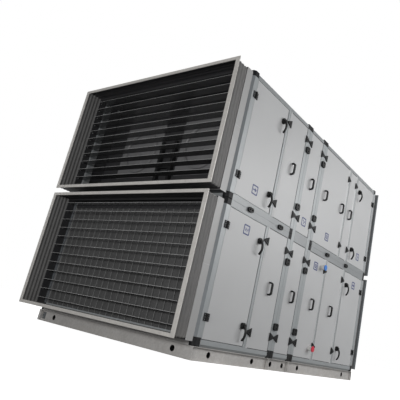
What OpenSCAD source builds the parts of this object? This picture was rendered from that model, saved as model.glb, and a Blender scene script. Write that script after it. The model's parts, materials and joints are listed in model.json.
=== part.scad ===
// Two-deck air handling unit: a framed and panelled casing on a channel base.
// The working frame has x from the casing's front face, y from its access face
// and z from the ground. placed() then puts the origin under the middle of the unit.

/* [Casing] */
// Length of the front section
front_l = 1090; // [900:5:1300]
// Length of the narrow middle section
middle_l = 372; // [320:2:700]
// Length of the rear section
rear_l = 1593; // [1400:1:2000]
// Width of the casing over the frame
casing_w = 2134; // [1600:2:2600]
// Height of one tier
tier_h = 1205; // [1100:5:1400]
// Width of the square frame profiles
frame_w = 54; // [48:1:60]
// Width of the corner posts at both ends of the unit, along the unit
corner_w = 72; // [64:1:80]
// Height of the corner blocks at the foot of the unit
shoe_h = 70; // [60:1:90]
// Flat on the outer edge of the corner posts, measured along each side
edge_flat = 20; // [8:1:26]
// Gap between the frames of two sections
section_gap = 2; // [1:0.5:4]

/* [Panels] */
// Thickness of the wall, floor and roof panels
panel_t = 44; // [30:1:46]
// How far the panels sit back from the frame's face
panel_recess = 2; // [1:0.5:6]
// Gap round a fixed panel
panel_gap = 0.5; // [0.2:0.1:0.8]
// Gap round a door
door_gap = 8; // [7:0.5:10]

/* [Bays] */
// Clear width of the front door openings
front_bay = 565; // [480:1:660]
// Clear width of the rear door openings
rear_bay = 549; // [450:1:600]
// Clear width of the coil bay in the lower rear section
coil_bay = 377; // [300:1:420]
// Clear width of the wide bay in the upper rear section
wide_bay = 643; // [500:1:680]

/* [Base] */
// Height of the base channels
base_h = 105; // [80:1:150]
// Width of the base channels' flanges
base_flange = 32; // [24:1:40]
// Thickness of the base channels
base_t = 4; // [3:0.5:6]
// Diameter of the lifting holes
lift_d = 50; // [30:1:60]
// Lifting hole from the end of a long section
lift_end = 235; // [150:1:300]
// Lifting hole from the end of the middle section
lift_end_middle = 76; // [60:1:120]

/* [Duct ends] */
// Depth of the front damper casings
collar_l = 81; // [76:1:120]
// Damper casing in from the side faces of the unit
collar_side = 20; // [12:0.5:24]
// Damper casing up from the foot of its tier
collar_low = 32; // [28:1:40]
// Damper casing down from the head of its tier
collar_high = 22; // [18:1:40]
// Front mouth to the front of the casing
hood_l = 241; // [200:1:320]
// Rear mouth to the back of the casing
outlet_l = 72; // [66:1:120]
// Depth of the rear damper casings
rear_collar_l = 26; // [22:1:32]
// Mouth in from the side faces of the unit
mouth_side = 32; // [30:0.5:40]
// Wall of the damper casings over and under the mouth
mouth_wall = 30; // [26:1:40]
// Thickness of the mouth flanges
flange_t = 8; // [5:0.5:12]
// How far the mouth flanges stand out past the sides
flange_out = 10; // [6:0.5:16]
// Sleeve in from the sides of the damper casing
sleeve_in = 2; // [0.5:0.5:3]
// Height of the sleeve's ridges
ridge_h = 3; // [2:0.5:4]
// Number of ridges round a front sleeve
ridges = 3; // [2:1:5]
// Corner radius of the sleeves
sleeve_r = 24; // [12:1:28]

/* [Dampers and filter] */
// Blades in each damper
blades = 12; // [8:1:12]
// Width of a damper blade
blade_w = 92; // [60:1:94]
// Thickness of a damper blade
blade_t = 5; // [4:0.5:8]
// Open blades in front of the casing
blade_back = 9; // [6:1:14]
// Open blades over the middle of their mouth
blade_up = 13; // [0:1:16]
// Gap between a closed blade and the next
blade_gap = 3; // [2:0.5:6]
// Diameter of the blade pivots
pivot_d = 12; // [8:1:16]
// Length of the blade pivots
pivot_l = 14; // [8:1:30]
// Front of the filter bank behind the front of the casing
filter_x = 10; // [8:1:60]
// Depth of the filter frame
filter_t = 25; // [15:1:40]
// Width of the filter frame's border
filter_border = 22; // [16:1:40]
// Gap over the filter frame
filter_head = 36; // [20:1:60]
// Width of the filter frame's bars
filter_bar = 6; // [4:1:10]
// Number of filter pockets
pockets = 23; // [12:1:28]
// Depth of a filter pocket
pocket_l = 275; // [150:5:340]
// Width of a pocket at its closed end
pocket_tip = 12; // [8:1:20]
// Gap between the rims of two pockets
pocket_gap = 2; // [1:0.5:3]

/* [Fan wall] */
// Front of the fan wall behind the front of the casing
fan_x = 212; // [180:2:500]
// Width of a fan's inlet plate
fan_plate = 600; // [480:10:700]
// Thickness of a fan's inlet plate
fan_plate_t = 12; // [6:1:20]
// Distance between the two fans
fan_pitch = 886; // [760:2:960]
// Diameter of a fan's inlet
fan_inlet = 420; // [300:10:480]

/* [Doors] */
// Centre of the lower hinge or lever over the foot of the tier
lever_low = 229; // [160:1:300]
// Centre of the upper hinge or lever under the head of the tier
lever_top = 219; // [170:1:300]
// Lever from the free edge of its door
lever_in = 62; // [50:1:90]
// Width of a lever's base block
rose_w = 48; // [44:1:60]
// Height of a lever's base block
rose_h = 54; // [48:1:70]
// Corner radius of a lever's base block
rose_r = 18; // [8:0.5:21]
// Thickness of a lever's base block
rose_t = 22; // [16:0.5:23]
// Depth of the base block's material under the spindle
spindle_floor = 3; // [2:0.5:6]
// Radius of a lever's hub
hub_r = 15; // [12:0.5:20]
// Height of a lever's hub
hub_t = 14; // [10:0.5:18]
// Length of a lever from its spindle
lever_l = 120; // [100:1:122]
// Outer radius of a lever's bow
lever_r = 100; // [96:1:130]
// Width of a lever
lever_w = 19; // [14:1:24]
// Thickness of a lever
lever_t = 12; // [8:0.5:13]
// A lever's bow over its base block at the spindle
lever_lift = 1; // [0.5:0.5:2]
// Radius of a lever's spindle
spindle_r = 5; // [3:0.5:7]
// Radial clearance of spindles and hinge pins
pin_clear = 0.2; // [0.1:0.05:0.4]
// Height of a hinge
hinge_h = 62; // [56:2:100]
// Radius of a hinge's knuckles
knuckle_r = 9; // [7:0.5:11]
// Radius of a hinge pin
hinge_pin_r = 4; // [3:0.5:5]
// Number of knuckles in a hinge
knuckles = 5; // [3:2:7]
// Gap between two knuckles
knuckle_gap = 1; // [0.5:0.5:2]
// Width of a hinge leaf past its knuckles
leaf_w = 24; // [16:1:30]
// Thickness of a hinge leaf
leaf_t = 5; // [4:0.5:7]

/* [Hardware] */
// Length of a panel handle
handle_h = 126; // [100:1:160]
// Width of a panel handle
handle_w = 24; // [16:1:30]
// How far a panel handle stands out
handle_out = 44; // [36:1:48]
// Thickness of a panel handle's bar
handle_t = 15; // [8:0.5:16]
// Outer radius of a panel handle's bends
handle_bend = 28; // [20:0.5:32]
// Centre of the panel handles over the middle of the tier
handle_up = 10; // [0:1:60]
// Wide panel's handles from its edges
handle_in = 100; // [70:1:160]
// How far a clamp's wing reaches over the panel beside its post
clamp_over = 18; // [12:1:30]
// Height of a clamp's wing at its wide end
clamp_h = 80; // [60:1:90]
// Height of a clamp's wing at its narrow end
clamp_waist = 14; // [10:1:20]
// Thickness of the panel clamps
clamp_t = 10; // [5:0.5:14]
// Lower panel clamp over the foot of the tier
clamp_low = 190; // [150:1:240]
// Upper panel clamp under the head of the tier
clamp_top = 183; // [150:1:240]
// Section connector from its panel clamp
connector_off = 100; // [96:1:130]
// Width of a connector
connector_w = 70; // [60:1:84]
// Height of a connector
connector_h = 68; // [56:1:80]
// Thickness of the connectors
connector_t = 18; // [12:1:24]
// Corner radius of the connectors
connector_r = 18; // [8:1:24]
// Hole in a connector
connector_d = 15; // [8:1:18]
// Holes of a connector from its middle
connector_hole = 16; // [13:1:20]
// First tier connector from the front of the casing
tier_plate_end = 340; // [250:5:420]
// Second tier connector from the end of the front section
tier_plate_in = 238; // [180:2:420]
// Third tier connector from the start of the rear section
tier_plate_rear = 434; // [300:2:500]
// Last tier connector from the back of the casing
tier_plate_last = 636; // [400:2:680]
// Width of a tier connector
tier_plate_w = 76; // [62:1:84]
// Height of a tier connector
tier_plate_h = 42; // [38:1:64]

/* [Water connections] */
// Diameter of the water stubs
stub_d = 50; // [25:1:60]
// Length of a water stub past the panel
stub_l = 46; // [30:1:80]
// Thickness of a stub's cap
cap_t = 12; // [8:1:20]
// Wall of a stub's cap
cap_wall = 5; // [2:0.5:6]
// Upper stub under the head of the tier
stub_top = 162; // [120:1:260]
// Lower stub over the foot of the tier
stub_low = 164; // [120:1:260]
// Stubs from the coil bay's post
stub_in = 70; // [50:1:120]
// Depth of the coil
coil_l = 160; // [130:5:280]

/* [Hidden] */
$fn = 96;
sections = [front_l, middle_l, rear_l];
casing_l = front_l + middle_l + rear_l;
total_h = base_h + 2 * tier_h;
lever_high = tier_h - lever_top;
clamp_high = tier_h - clamp_top;
stub_high = tier_h - stub_top;
handle_z = tier_h / 2 + handle_up;
lever_back = rose_t + pin_clear;
lever_half = asin(lever_l / 2 / (lever_r - lever_t / 2));
lever_out = lever_r - (lever_r - lever_t) * cos(lever_half) + lever_lift;
lever_front = panel_recess - lever_back - lever_out;
handle_front = panel_recess - handle_out;
cap_front = panel_recess - stub_l - cap_t;
access_front = min(lever_front, handle_front, cap_front, -flange_out);
x_shift = -(casing_l + outlet_l - hood_l) / 2;
y_shift = -(casing_w + flange_out + access_front) / 2;
over = 1;

// Starts and ends of the sections along x, and the feet of the tiers
function section_start(i) = i == 0 ? 0 : section_start(i - 1) + sections[i - 1];
function frame_start(i) = section_start(i) + (i > 0 ? section_gap / 2 : 0);
function frame_end(i) = section_start(i + 1) - (i < 2 ? section_gap / 2 : 0);
function foot(tier) = base_h + tier * tier_h;
function start_w(i) = i == 0 ? corner_w : frame_w;
function end_w(i) = i == 2 ? corner_w : frame_w;

// Left edges of the posts between the section ends
front_post = corner_w + front_bay;
rear_post = casing_l - corner_w - rear_bay - frame_w;
coil_post = frame_start(2) + frame_w + coil_bay;
wide_post = frame_start(2) + frame_w + wide_bay;
function inner_posts(tier) = [front_post, tier == 0 ? coil_post : wide_post, rear_post];

// Fixed panels of a wall, as [left edge, right edge] of each opening
function fixed_bays(tier) = [
    [front_post + frame_w, frame_end(0) - frame_w],
    [frame_start(1) + frame_w, frame_end(1) - frame_w],
    [frame_start(2) + frame_w, inner_posts(tier)[1]],
    [inner_posts(tier)[1] + frame_w, rear_post],
];
front_opening = [corner_w, front_post];
rear_opening = [rear_post + frame_w, casing_l - corner_w];

// Hinge axes outside the face, in the middle of the gap beside each door
hinge_y = -knuckle_r - pin_clear;
front_hinge_x = corner_w + door_gap / 2;
rear_hinge_x = casing_l - corner_w - door_gap / 2;
front_lever_x = front_post - door_gap - lever_in;
rear_lever_x = rear_post + frame_w + door_gap + lever_in;
hardware_z = [lever_low, lever_high];

// Mouth of a duct end: its foot over the tier's foot, its width and its height
mouth_z = collar_low + mouth_wall;
mouth_w = casing_w - 2 * mouth_side;
mouth_h = tier_h - collar_high - mouth_wall - mouth_z;
blade_pitch = mouth_h / blades;
closed_w = blade_pitch - blade_gap;

plastic = "dimgray";
panel_grey = "silver";
alloy = "lightsteelblue";
zinc = "darkgray";

// Puts the origin on the ground under the middle of the unit
module placed() {
    translate([x_shift, y_shift, 0]) children();
}

// A block from its low corner and its high corner
module block(low, high) {
    translate(low) cube(high - low);
}

// Repeats what lies on the access side on the back of the unit
module both_sides() {
    children();
    translate([0, casing_w, 0]) mirror([0, 1, 0]) children();
}

// A flat plate with round corners, w by h, in the XY plane
module round_plate(w, h, r) {
    translate([-w / 2 + r, -h / 2]) square([w - 2 * r, h]);
    translate([-w / 2, -h / 2 + r]) square([w, h - 2 * r]);
    for (sx = [-1, 1], sy = [-1, 1])
        translate([sx * (w / 2 - r), sy * (h / 2 - r)]) circle(r);
}

// Stands an outline of the XY plane on the access face, thickness t outwards
module on_face(x, z, t, face = 0) {
    translate([x, face, z]) rotate([90, 0, 0]) linear_extrude(t) children();
}

// Outline of a post w wide, with the flat on its outer corner
module post_outline(w) {
    polygon([[edge_flat, 0], [w, 0], [w, frame_w], [0, frame_w], [0, edge_flat]]);
}

// Four corners of a section's frame: children stand at the outer corner, square to the frame
module section_corners(i) {
    x0 = frame_start(i);
    x1 = frame_end(i);
    both_sides() {
        translate([x0, 0, 0]) children(i == 0 ? 1 : 0);
        translate([x1, 0, 0]) mirror([1, 0, 0]) children(i == 2 ? 1 : 0);
    }
}

// Corner posts of the two long sections and the posts between the bays
module tier_posts(tier) {
    low = foot(tier) + frame_w;
    high = foot(tier) + tier_h - frame_w;
    block_top = foot(tier) + (tier == 0 ? shoe_h : frame_w);
    long = high - block_top;
    for (i = [0, 2])
        section_corners(i) {
            translate([0, 0, block_top]) cube([frame_w, frame_w, long]);
            translate([0, 0, block_top]) linear_extrude(long) post_outline(corner_w);
        }
    both_sides()
        for (x = inner_posts(tier))
            block([x, 0, low], [x + frame_w, frame_w, high]);
}

// The middle section is one frame over both tiers, so its posts run through
module through_posts() {
    low = foot(0) + shoe_h;
    section_corners(1)
        translate([0, 0, low]) cube([frame_w, frame_w, total_h - frame_w - low]);
}

// A rail along a section with the flat on its outer edge, at the foot or the head of the unit
module edge_rail(x0, x1, at_head) {
    translate([x0, 0, at_head ? total_h : foot(0)]) mirror([0, 0, at_head ? 1 : 0])
        rotate([90, 0, 90]) linear_extrude(x1 - x0) post_outline(frame_w);
}

// Rails along and across a section between two heights
module plain_rails(i, z0, z1) {
    x0 = frame_start(i);
    x1 = frame_end(i);
    both_sides() block([x0 + start_w(i), 0, z0], [x1 - end_w(i), frame_w, z1]);
    cross_rails(i, z0, z1);
}

module cross_rails(i, z0, z1) {
    for (x = [frame_start(i), frame_end(i) - frame_w])
        block([x, frame_w, z0], [x + frame_w, casing_w - frame_w, z1]);
}

// Rails of every section at the foot of the unit or at its head
module outer_rails(at_head) {
    z0 = at_head ? total_h - frame_w : foot(0);
    for (i = [0:2]) {
        both_sides() edge_rail(frame_start(i) + start_w(i), frame_end(i) - end_w(i), at_head);
        cross_rails(i, z0, z0 + frame_w);
    }
}

// Corner blocks h high that join the posts and rails of a section at one height
module corner_blocks(i, z, h = frame_w) {
    section_corners(i) {
        translate([0, 0, z]) cube([frame_w, frame_w, h]);
        translate([0, 0, z]) linear_extrude(h) post_outline(corner_w);
    }
}

// A wall panel in the opening between x0 and x1, gap clear all round
module wall_panel(x0, x1, tier, gap) {
    block(
        [x0 + gap, panel_recess, foot(tier) + frame_w + gap],
        [x1 - gap, panel_recess + panel_t, foot(tier) + tier_h - frame_w - gap]);
}

module fixed_panels(tier) {
    for (bay = fixed_bays(tier))
        wall_panel(bay[0], bay[1], tier, panel_gap);
}

// The back wall has fixed panels in every bay
module back_panels(tier) {
    translate([0, casing_w, 0]) mirror([0, 1, 0]) {
        fixed_panels(tier);
        wall_panel(front_opening[0], front_opening[1], tier, panel_gap);
        wall_panel(rear_opening[0], rear_opening[1], tier, panel_gap);
    }
}

// Floor, deck and roof panels between the rails of every section
module flat_panels(z) {
    for (i = [0:2])
        block(
            [frame_start(i) + frame_w + panel_gap, frame_w + panel_gap, z],
            [frame_end(i) - frame_w - panel_gap, casing_w - frame_w - panel_gap, z + panel_t]);
}

// Channel of the base, open towards -y, its back at y = base_flange
module base_channel(long) {
    rotate([90, 0, 90]) linear_extrude(long)
        difference() {
            square([base_flange, base_h]);
            translate([-over, base_t]) square([base_flange - base_t + over, base_h - 2 * base_t]);
        }
}

function lift_x(i) = i == 1 ? lift_end_middle : lift_end;

// A base channel with its end plates and two lifting holes
module base_side_rail(i) {
    long = frame_end(i) - frame_start(i);
    translate([frame_start(i), 0, 0])
        difference() {
            union() {
                base_channel(long);
                for (x = [0, long - base_t])
                    translate([x, 0, 0]) cube([base_t, base_flange, base_h]);
            }
            for (x = [lift_x(i), long - lift_x(i)])
                translate([x, base_flange + over, base_h / 2])
                    rotate([90, 0, 0]) cylinder(r = lift_d / 2, h = base_t + 2 * over);
        }
}

module base_side_rails() {
    color(zinc) placed() both_sides()
        for (i = [0:2]) base_side_rail(i);
}

// Cross channels at both ends of every section, open outwards; the outer two are drilled
module base_cross_rail(drilled) {
    long = casing_w - 2 * base_flange;
    translate([0, casing_w - base_flange, 0]) rotate([0, 0, -90])
        difference() {
            base_channel(long);
            if (drilled)
                for (x = [lift_end - base_flange, long - lift_end + base_flange])
                    translate([x, base_flange + over, base_h / 2])
                        rotate([90, 0, 0]) cylinder(r = lift_d / 2, h = base_t + 2 * over);
        }
}

module base_cross_rails() {
    color(zinc) placed()
        for (i = [0:2]) {
            translate([frame_start(i), 0, 0]) base_cross_rail(i == 0);
            translate([frame_end(i), 0, 0]) mirror([1, 0, 0]) base_cross_rail(i == 2);
        }
}

// The lower posts hold the middle section's through posts too
module lower_posts() {
    color(alloy) placed() {
        tier_posts(0);
        through_posts();
    }
}
module upper_posts() { color(alloy) placed() tier_posts(1); }

// The middle section has one high rail between the tiers, and it goes with the lower rails
module lower_rails() {
    color(alloy) placed() {
        outer_rails(false);
        for (i = [0, 2]) plain_rails(i, foot(1) - frame_w, foot(1));
        plain_rails(1, foot(1) - frame_w, foot(1) + frame_w);
    }
}
module upper_rails() {
    color(alloy) placed() {
        outer_rails(true);
        for (i = [0, 2]) plain_rails(i, foot(1), foot(1) + frame_w);
    }
}

// Only the two long sections have corner blocks between the tiers
module lower_corner_blocks() {
    color(plastic) placed() {
        for (i = [0:2]) corner_blocks(i, foot(0), shoe_h);
        for (i = [0, 2]) corner_blocks(i, foot(1) - frame_w);
    }
}
module upper_corner_blocks() {
    color(plastic) placed() {
        for (i = [0:2]) corner_blocks(i, total_h - frame_w);
        for (i = [0, 2]) corner_blocks(i, foot(1));
    }
}

module lower_front_door() {
    color(panel_grey) placed() wall_panel(front_opening[0], front_opening[1], 0, door_gap);
}
module lower_rear_door() {
    color(panel_grey) placed() wall_panel(rear_opening[0], rear_opening[1], 0, door_gap);
}
module upper_front_door() {
    color(panel_grey) placed() wall_panel(front_opening[0], front_opening[1], 1, door_gap);
}
module upper_rear_door() {
    color(panel_grey) placed() wall_panel(rear_opening[0], rear_opening[1], 1, door_gap);
}

module lower_access_panels() { color(panel_grey) placed() fixed_panels(0); }
module upper_access_panels() { color(panel_grey) placed() fixed_panels(1); }
module lower_back_panels() { color(panel_grey) placed() back_panels(0); }
module upper_back_panels() { color(panel_grey) placed() back_panels(1); }

module lower_floor() { color(panel_grey) placed() flat_panels(foot(0) + frame_w - panel_t); }
module deck_panels() {
    color(panel_grey) placed() {
        flat_panels(foot(1) - frame_w);
        flat_panels(foot(1) + frame_w - panel_t);
    }
}
module roof_panels() { color(panel_grey) placed() flat_panels(total_h - panel_recess - panel_t); }

// A rectangular ring round the mouth of a tier, from x0 to x1, outer edges given
module mouth_ring(tier, x0, x1, y_out, z_low, z_high) {
    difference() {
        block([x0, y_out, foot(tier) + z_low], [x1, casing_w - y_out, foot(tier) + tier_h - z_high]);
        mouth_cut(tier, x0 - over, x1 + over);
    }
}

module mouth_cut(tier, x0, x1) {
    block(
        [x0, mouth_side, foot(tier) + mouth_z],
        [x1, mouth_side + mouth_w, foot(tier) + mouth_z + mouth_h]);
}

module damper_casings() {
    color(panel_grey) placed()
        for (tier = [0, 1]) {
            mouth_ring(tier, -collar_l, 0, collar_side, collar_low, collar_high);
            mouth_ring(tier, casing_l, casing_l + rear_collar_l, collar_side, collar_low, collar_high);
        }
}

// One ring of a sleeve, round at its outer corners
module sleeve_ring(tier, x0, x1, inset) {
    w = casing_w - 2 * (collar_side + inset);
    h = tier_h - collar_low - collar_high - 2 * inset;
    translate([x0, casing_w / 2, foot(tier) + collar_low + inset + h / 2])
        rotate([90, 0, 90]) linear_extrude(x1 - x0) round_plate(w, h, sleeve_r);
}

// A flexible sleeve with ridges round it
module sleeve(tier, x0, x1, count) {
    step = (x1 - x0) / (2 * count + 1);
    difference() {
        union() {
            sleeve_ring(tier, x0, x1, sleeve_in + ridge_h);
            for (k = [1:count])
                sleeve_ring(tier, x0 + (2 * k - 1) * step, x0 + 2 * k * step, sleeve_in);
        }
        mouth_cut(tier, x0 - over, x1 + over);
    }
}

module duct_sleeves() {
    color("gray") placed()
        for (tier = [0, 1]) {
            sleeve(tier, -hood_l + flange_t, -collar_l, ridges);
            sleeve(tier, casing_l + rear_collar_l, casing_l + outlet_l - flange_t, 1);
        }
}

module duct_flanges() {
    color("lightgray") placed()
        for (tier = [0, 1], x = [-hood_l, casing_l + outlet_l - flange_t])
            mouth_ring(tier, x, x + flange_t, -flange_out, collar_low, collar_high);
}

// A damper blade along y with a pivot at each end, w wide, flat at turn 0
module blade(w, t, turn) {
    round_r = t / 2;
    long = mouth_w - 2 * pivot_l;
    rotate([-90, 0, 0]) {
        translate([0, 0, pivot_l]) rotate([0, 0, turn]) linear_extrude(long) {
            translate([-w / 2 + round_r, -round_r]) square([w - t, t]);
            for (side = [-1, 1])
                translate([side * (w / 2 - round_r), 0]) circle(round_r);
        }
        for (z = [0, pivot_l + long - over])
            translate([0, 0, z]) cylinder(d = pivot_d, h = pivot_l + over);
    }
}

module blade_set(tier, x, up, w, t, turn) {
    for (k = [0:blades - 1])
        translate([x, mouth_side, foot(tier) + mouth_z + (k + 0.5) * blade_pitch + up]) blade(w, t, turn);
}

open_x = -blade_back - blade_w / 2;

module lower_damper_blades() {
    color("lightgray") placed() blade_set(0, open_x, blade_up, blade_w, blade_t, 0);
}
module upper_damper_blades() {
    color("lightgray") placed() blade_set(1, open_x, blade_up, blade_w, blade_t, 0);
}
module rear_damper_blades() {
    color("lightgray") placed()
        for (tier = [0, 1])
            blade_set(tier, casing_l + rear_collar_l / 2, 0, closed_w, blade_t, 90);
}

// Chamber of a tier between the floor and the ceiling panels
chamber_y = panel_recess + panel_t;
chamber_w = casing_w - 2 * chamber_y;
chamber_z = frame_w;
chamber_h = tier_h - 2 * frame_w;
filter_y = frame_w + panel_gap;
filter_w = casing_w - 2 * filter_y;
filter_h = chamber_h - filter_head;
pocket_pitch = (filter_w - 2 * filter_border) / pockets;
pocket_h = filter_h - 2 * filter_border;

// Filter bank's front grid, on the front rail between the two front posts
module filter_frame() {
    color("gray") placed()
        translate([filter_x, filter_y, foot(0) + chamber_z])
            difference() {
                cube([filter_t, filter_w, filter_h]);
                for (k = [0:pockets - 1])
                    translate([-over, filter_border + k * pocket_pitch + filter_bar / 2, filter_border])
                        cube([filter_t + 2 * over, pocket_pitch - filter_bar, pocket_h]);
            }
}

// Filter pockets, wedges that narrow towards the back, their rims against the back of the bars
module filter_pockets() {
    color("darkslategray") placed()
        for (k = [0:pockets - 1])
            translate([
                filter_x + filter_t,
                filter_y + filter_border + (k + 0.5) * pocket_pitch,
                foot(0) + chamber_z + filter_border])
                linear_extrude(pocket_h) pocket_outline();
}

module pocket_outline() {
    rim = pocket_pitch - pocket_gap;
    polygon([
        [0, -rim / 2], [pocket_l, -pocket_tip / 2],
        [pocket_l, pocket_tip / 2], [0, rim / 2]]);
}

// Panel across the back end of the lower front section
module lower_partition() {
    color(panel_grey) placed()
        block(
            [frame_end(0) - panel_recess - panel_t, frame_w + panel_gap, foot(0) + frame_w + panel_gap],
            [frame_end(0) - panel_recess, casing_w - frame_w - panel_gap, foot(0) + tier_h - frame_w - panel_gap]);
}

// Finned coil that the water stubs feed, across the coil bay
module water_coil() {
    coil_x = coil_post - coil_l;
    color("darkgray") placed()
        block(
            [coil_x, chamber_y + panel_gap, foot(0) + chamber_z],
            [coil_post, chamber_y + chamber_w - panel_gap, foot(0) + chamber_z + chamber_h]);
}

module fan_places() {
    for (side = [-1, 1])
        translate([fan_x, casing_w / 2 + side * fan_pitch / 2, foot(1) + tier_h / 2]) children();
}

module fan_wall() {
    color(panel_grey) placed()
        block(
            [fan_x, frame_w, foot(1) + chamber_z],
            [fan_x + panel_t, casing_w - frame_w, foot(1) + chamber_z + chamber_h]);
}

// Inlet plates of the two fans on the fan wall
module fan_inlets() {
    color("gray") placed() fan_places()
        rotate([0, -90, 0]) difference() {
            translate([-fan_plate / 2, -fan_plate / 2, 0]) cube([fan_plate, fan_plate, fan_plate_t]);
            translate([0, 0, fan_plate_t / 2]) cylinder(d = fan_inlet, h = fan_plate_t);
        }
}

// Heights of the knuckles of a hinge that is centred on z = 0
knuckle_h = (hinge_h - (knuckles - 1) * knuckle_gap) / knuckles;
function knuckle_z(k) = -hinge_h / 2 + k * (knuckle_h + knuckle_gap);

// One leaf of a hinge with its knuckles, every other one from first; it lies towards -x
module hinge_leaf(first, face, bore) {
    reach = knuckle_r + knuckle_gap;
    difference() {
        union() {
            translate([-reach - leaf_w, face - leaf_t, -hinge_h / 2]) cube([leaf_w, leaf_t, hinge_h]);
            for (k = [first:2:knuckles - 1])
                translate([0, hinge_y, knuckle_z(k)]) {
                    cylinder(r = knuckle_r, h = knuckle_h);
                    translate([-reach - over, 0, 0]) cube([reach + over, face - hinge_y, knuckle_h]);
                }
        }
        translate([0, hinge_y, -hinge_h / 2 - over]) cylinder(r = bore, h = hinge_h + 2 * over);
    }
}

// The leaf on the post with the pin
module hinge_seat() {
    hinge_leaf(0, 0, hinge_pin_r - over);
    translate([0, hinge_y, -hinge_h / 2]) cylinder(r = hinge_pin_r, h = hinge_h);
}

// The leaf on the door
module hinge_swing() {
    mirror([1, 0, 0]) hinge_leaf(1, panel_recess, hinge_pin_r + pin_clear);
}

// Hinge places of a tier: the front doors hang at their front edge, the rear ones at their back edge
module at_front_hinges(tier) {
    for (z = hardware_z) translate([front_hinge_x, 0, foot(tier) + z]) children();
}
module at_rear_hinges(tier) {
    for (z = hardware_z) translate([rear_hinge_x, 0, foot(tier) + z]) mirror([1, 0, 0]) children();
}

module lower_hinge_seats() {
    color(plastic) placed() {
        at_front_hinges(0) hinge_seat();
        at_rear_hinges(0) hinge_seat();
    }
}

// Base block of a lever, on the door's face, with a blind bore for the spindle
module rose() {
    rotate([90, 0, 0]) difference() {
        linear_extrude(rose_t) round_plate(rose_w, rose_h, rose_r);
        translate([0, 0, spindle_floor]) cylinder(r = spindle_r + pin_clear, h = rose_t);
    }
}

// A bend of a flat bar in the YZ plane, r its outer radius, centred on the origin
// It starts at turn degrees from +y towards +z and goes on round by angle
module bend(r, t, w, turn, angle) {
    rotate([90, 0, 90]) rotate([0, 0, turn]) translate([0, 0, -w / 2])
        rotate_extrude(angle = angle) translate([r - t, 0]) square([t, w]);
}

// A lever with its hub and spindle: a bar that hangs down in a bow, round at its end
module lever() {
    spindle_end = spindle_floor + pin_clear;
    rotate([90, 0, 0]) {
        translate([0, 0, spindle_end]) cylinder(r = spindle_r, h = lever_back + hub_t / 2 - spindle_end);
        translate([0, 0, lever_back]) cylinder(r = hub_r, h = hub_t);
    }
    mid_r = lever_r - lever_t / 2;
    translate([0, lever_r - lever_back - lever_out, -lever_l / 2]) {
        bend(lever_r, lever_t, lever_w, 180 - lever_half, 2 * lever_half);
        translate([-lever_w / 2, -mid_r * cos(lever_half), -mid_r * sin(lever_half)])
            rotate([0, 90, 0]) cylinder(d = lever_t, h = lever_w);
    }
}

module at_lever(x, tier, z) {
    translate([x, panel_recess, foot(tier) + z]) children();
}

// What each lower door carries: the swinging hinge leaves and the levers' base blocks
module front_door_fittings() {
    color(plastic) placed() {
        at_front_hinges(0) hinge_swing();
        for (z = hardware_z) at_lever(front_lever_x, 0, z) rose();
    }
}
module rear_door_fittings() {
    color(plastic) placed() {
        at_rear_hinges(0) hinge_swing();
        for (z = hardware_z) at_lever(rear_lever_x, 0, z) rose();
    }
}

// Hinges, base blocks and levers of the upper doors
module upper_door_fittings() {
    color(plastic) placed() {
        at_front_hinges(1) { hinge_seat(); hinge_swing(); }
        at_rear_hinges(1) { hinge_seat(); hinge_swing(); }
        for (x = [front_lever_x, rear_lever_x], z = hardware_z)
            at_lever(x, 1, z) { rose(); lever(); }
    }
}

module front_lever_low() { color(plastic) placed() at_lever(front_lever_x, 0, lever_low) lever(); }
module front_lever_high() { color(plastic) placed() at_lever(front_lever_x, 0, lever_high) lever(); }
module rear_lever_low() { color(plastic) placed() at_lever(rear_lever_x, 0, lever_low) lever(); }
module rear_lever_high() { color(plastic) placed() at_lever(rear_lever_x, 0, lever_high) lever(); }

// A bow handle on a fixed panel, with round bends
module panel_handle() {
    w = handle_w / 2;
    leg = handle_out - handle_bend;
    bar = handle_h / 2 - handle_bend;
    block([-w, -handle_out, -bar], [w, handle_t - handle_out, bar]);
    translate([0, -leg, bar]) bend(handle_bend, handle_t, handle_w, 90, 90);
    translate([0, -leg, -bar]) bend(handle_bend, handle_t, handle_w, 180, 90);
    block([-w, -leg, handle_h / 2 - handle_t], [w, 0, handle_h / 2]);
    block([-w, -leg, -handle_h / 2], [w, 0, handle_t - handle_h / 2]);
}

function middle(bay) = (bay[0] + bay[1]) / 2;

// Handle places along x: one on each narrow panel, two on the wide one
function handle_places(tier) = [
    for (k = [0:3]) let (bay = fixed_bays(tier)[k])
        each (tier == 1 && k == 2 ? [bay[0] + handle_in, bay[1] - handle_in] : [middle(bay)])
];

module panel_handles() {
    color(plastic) placed()
        for (tier = [0, 1], x = handle_places(tier))
            translate([x, panel_recess, foot(tier) + handle_z]) panel_handle();
}

section_joints = [section_start(1), section_start(2)];
wing_l = frame_w + clamp_over;

// Wing of a panel clamp, its narrow end at x = 0 and its wide end towards +x
module wing_outline() {
    polygon([[0, -clamp_waist / 2], [wing_l, -clamp_h / 2], [wing_l, clamp_h / 2], [0, clamp_waist / 2]]);
}

// Two wings that meet at their narrow ends
module bow_outline() {
    polygon([
        [-wing_l, -clamp_h / 2], [0, -clamp_waist / 2], [wing_l, -clamp_h / 2],
        [wing_l, clamp_h / 2], [0, clamp_waist / 2], [-wing_l, clamp_h / 2]]);
}

// One wing at each post between the bays, two back to back at each joint of two sections
module panel_clamps() {
    color(plastic) placed()
        for (tier = [0, 1], z = [foot(tier) + clamp_low, foot(tier) + clamp_high]) {
            for (x = section_joints) on_face(x, z, clamp_t) bow_outline();
            on_face(front_post, z, clamp_t) wing_outline();
            on_face(rear_post + frame_w, z, clamp_t) mirror([1, 0]) wing_outline();
            on_face(inner_posts(tier)[1] + frame_w, z, clamp_t) mirror([1, 0]) wing_outline();
        }
}

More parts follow.
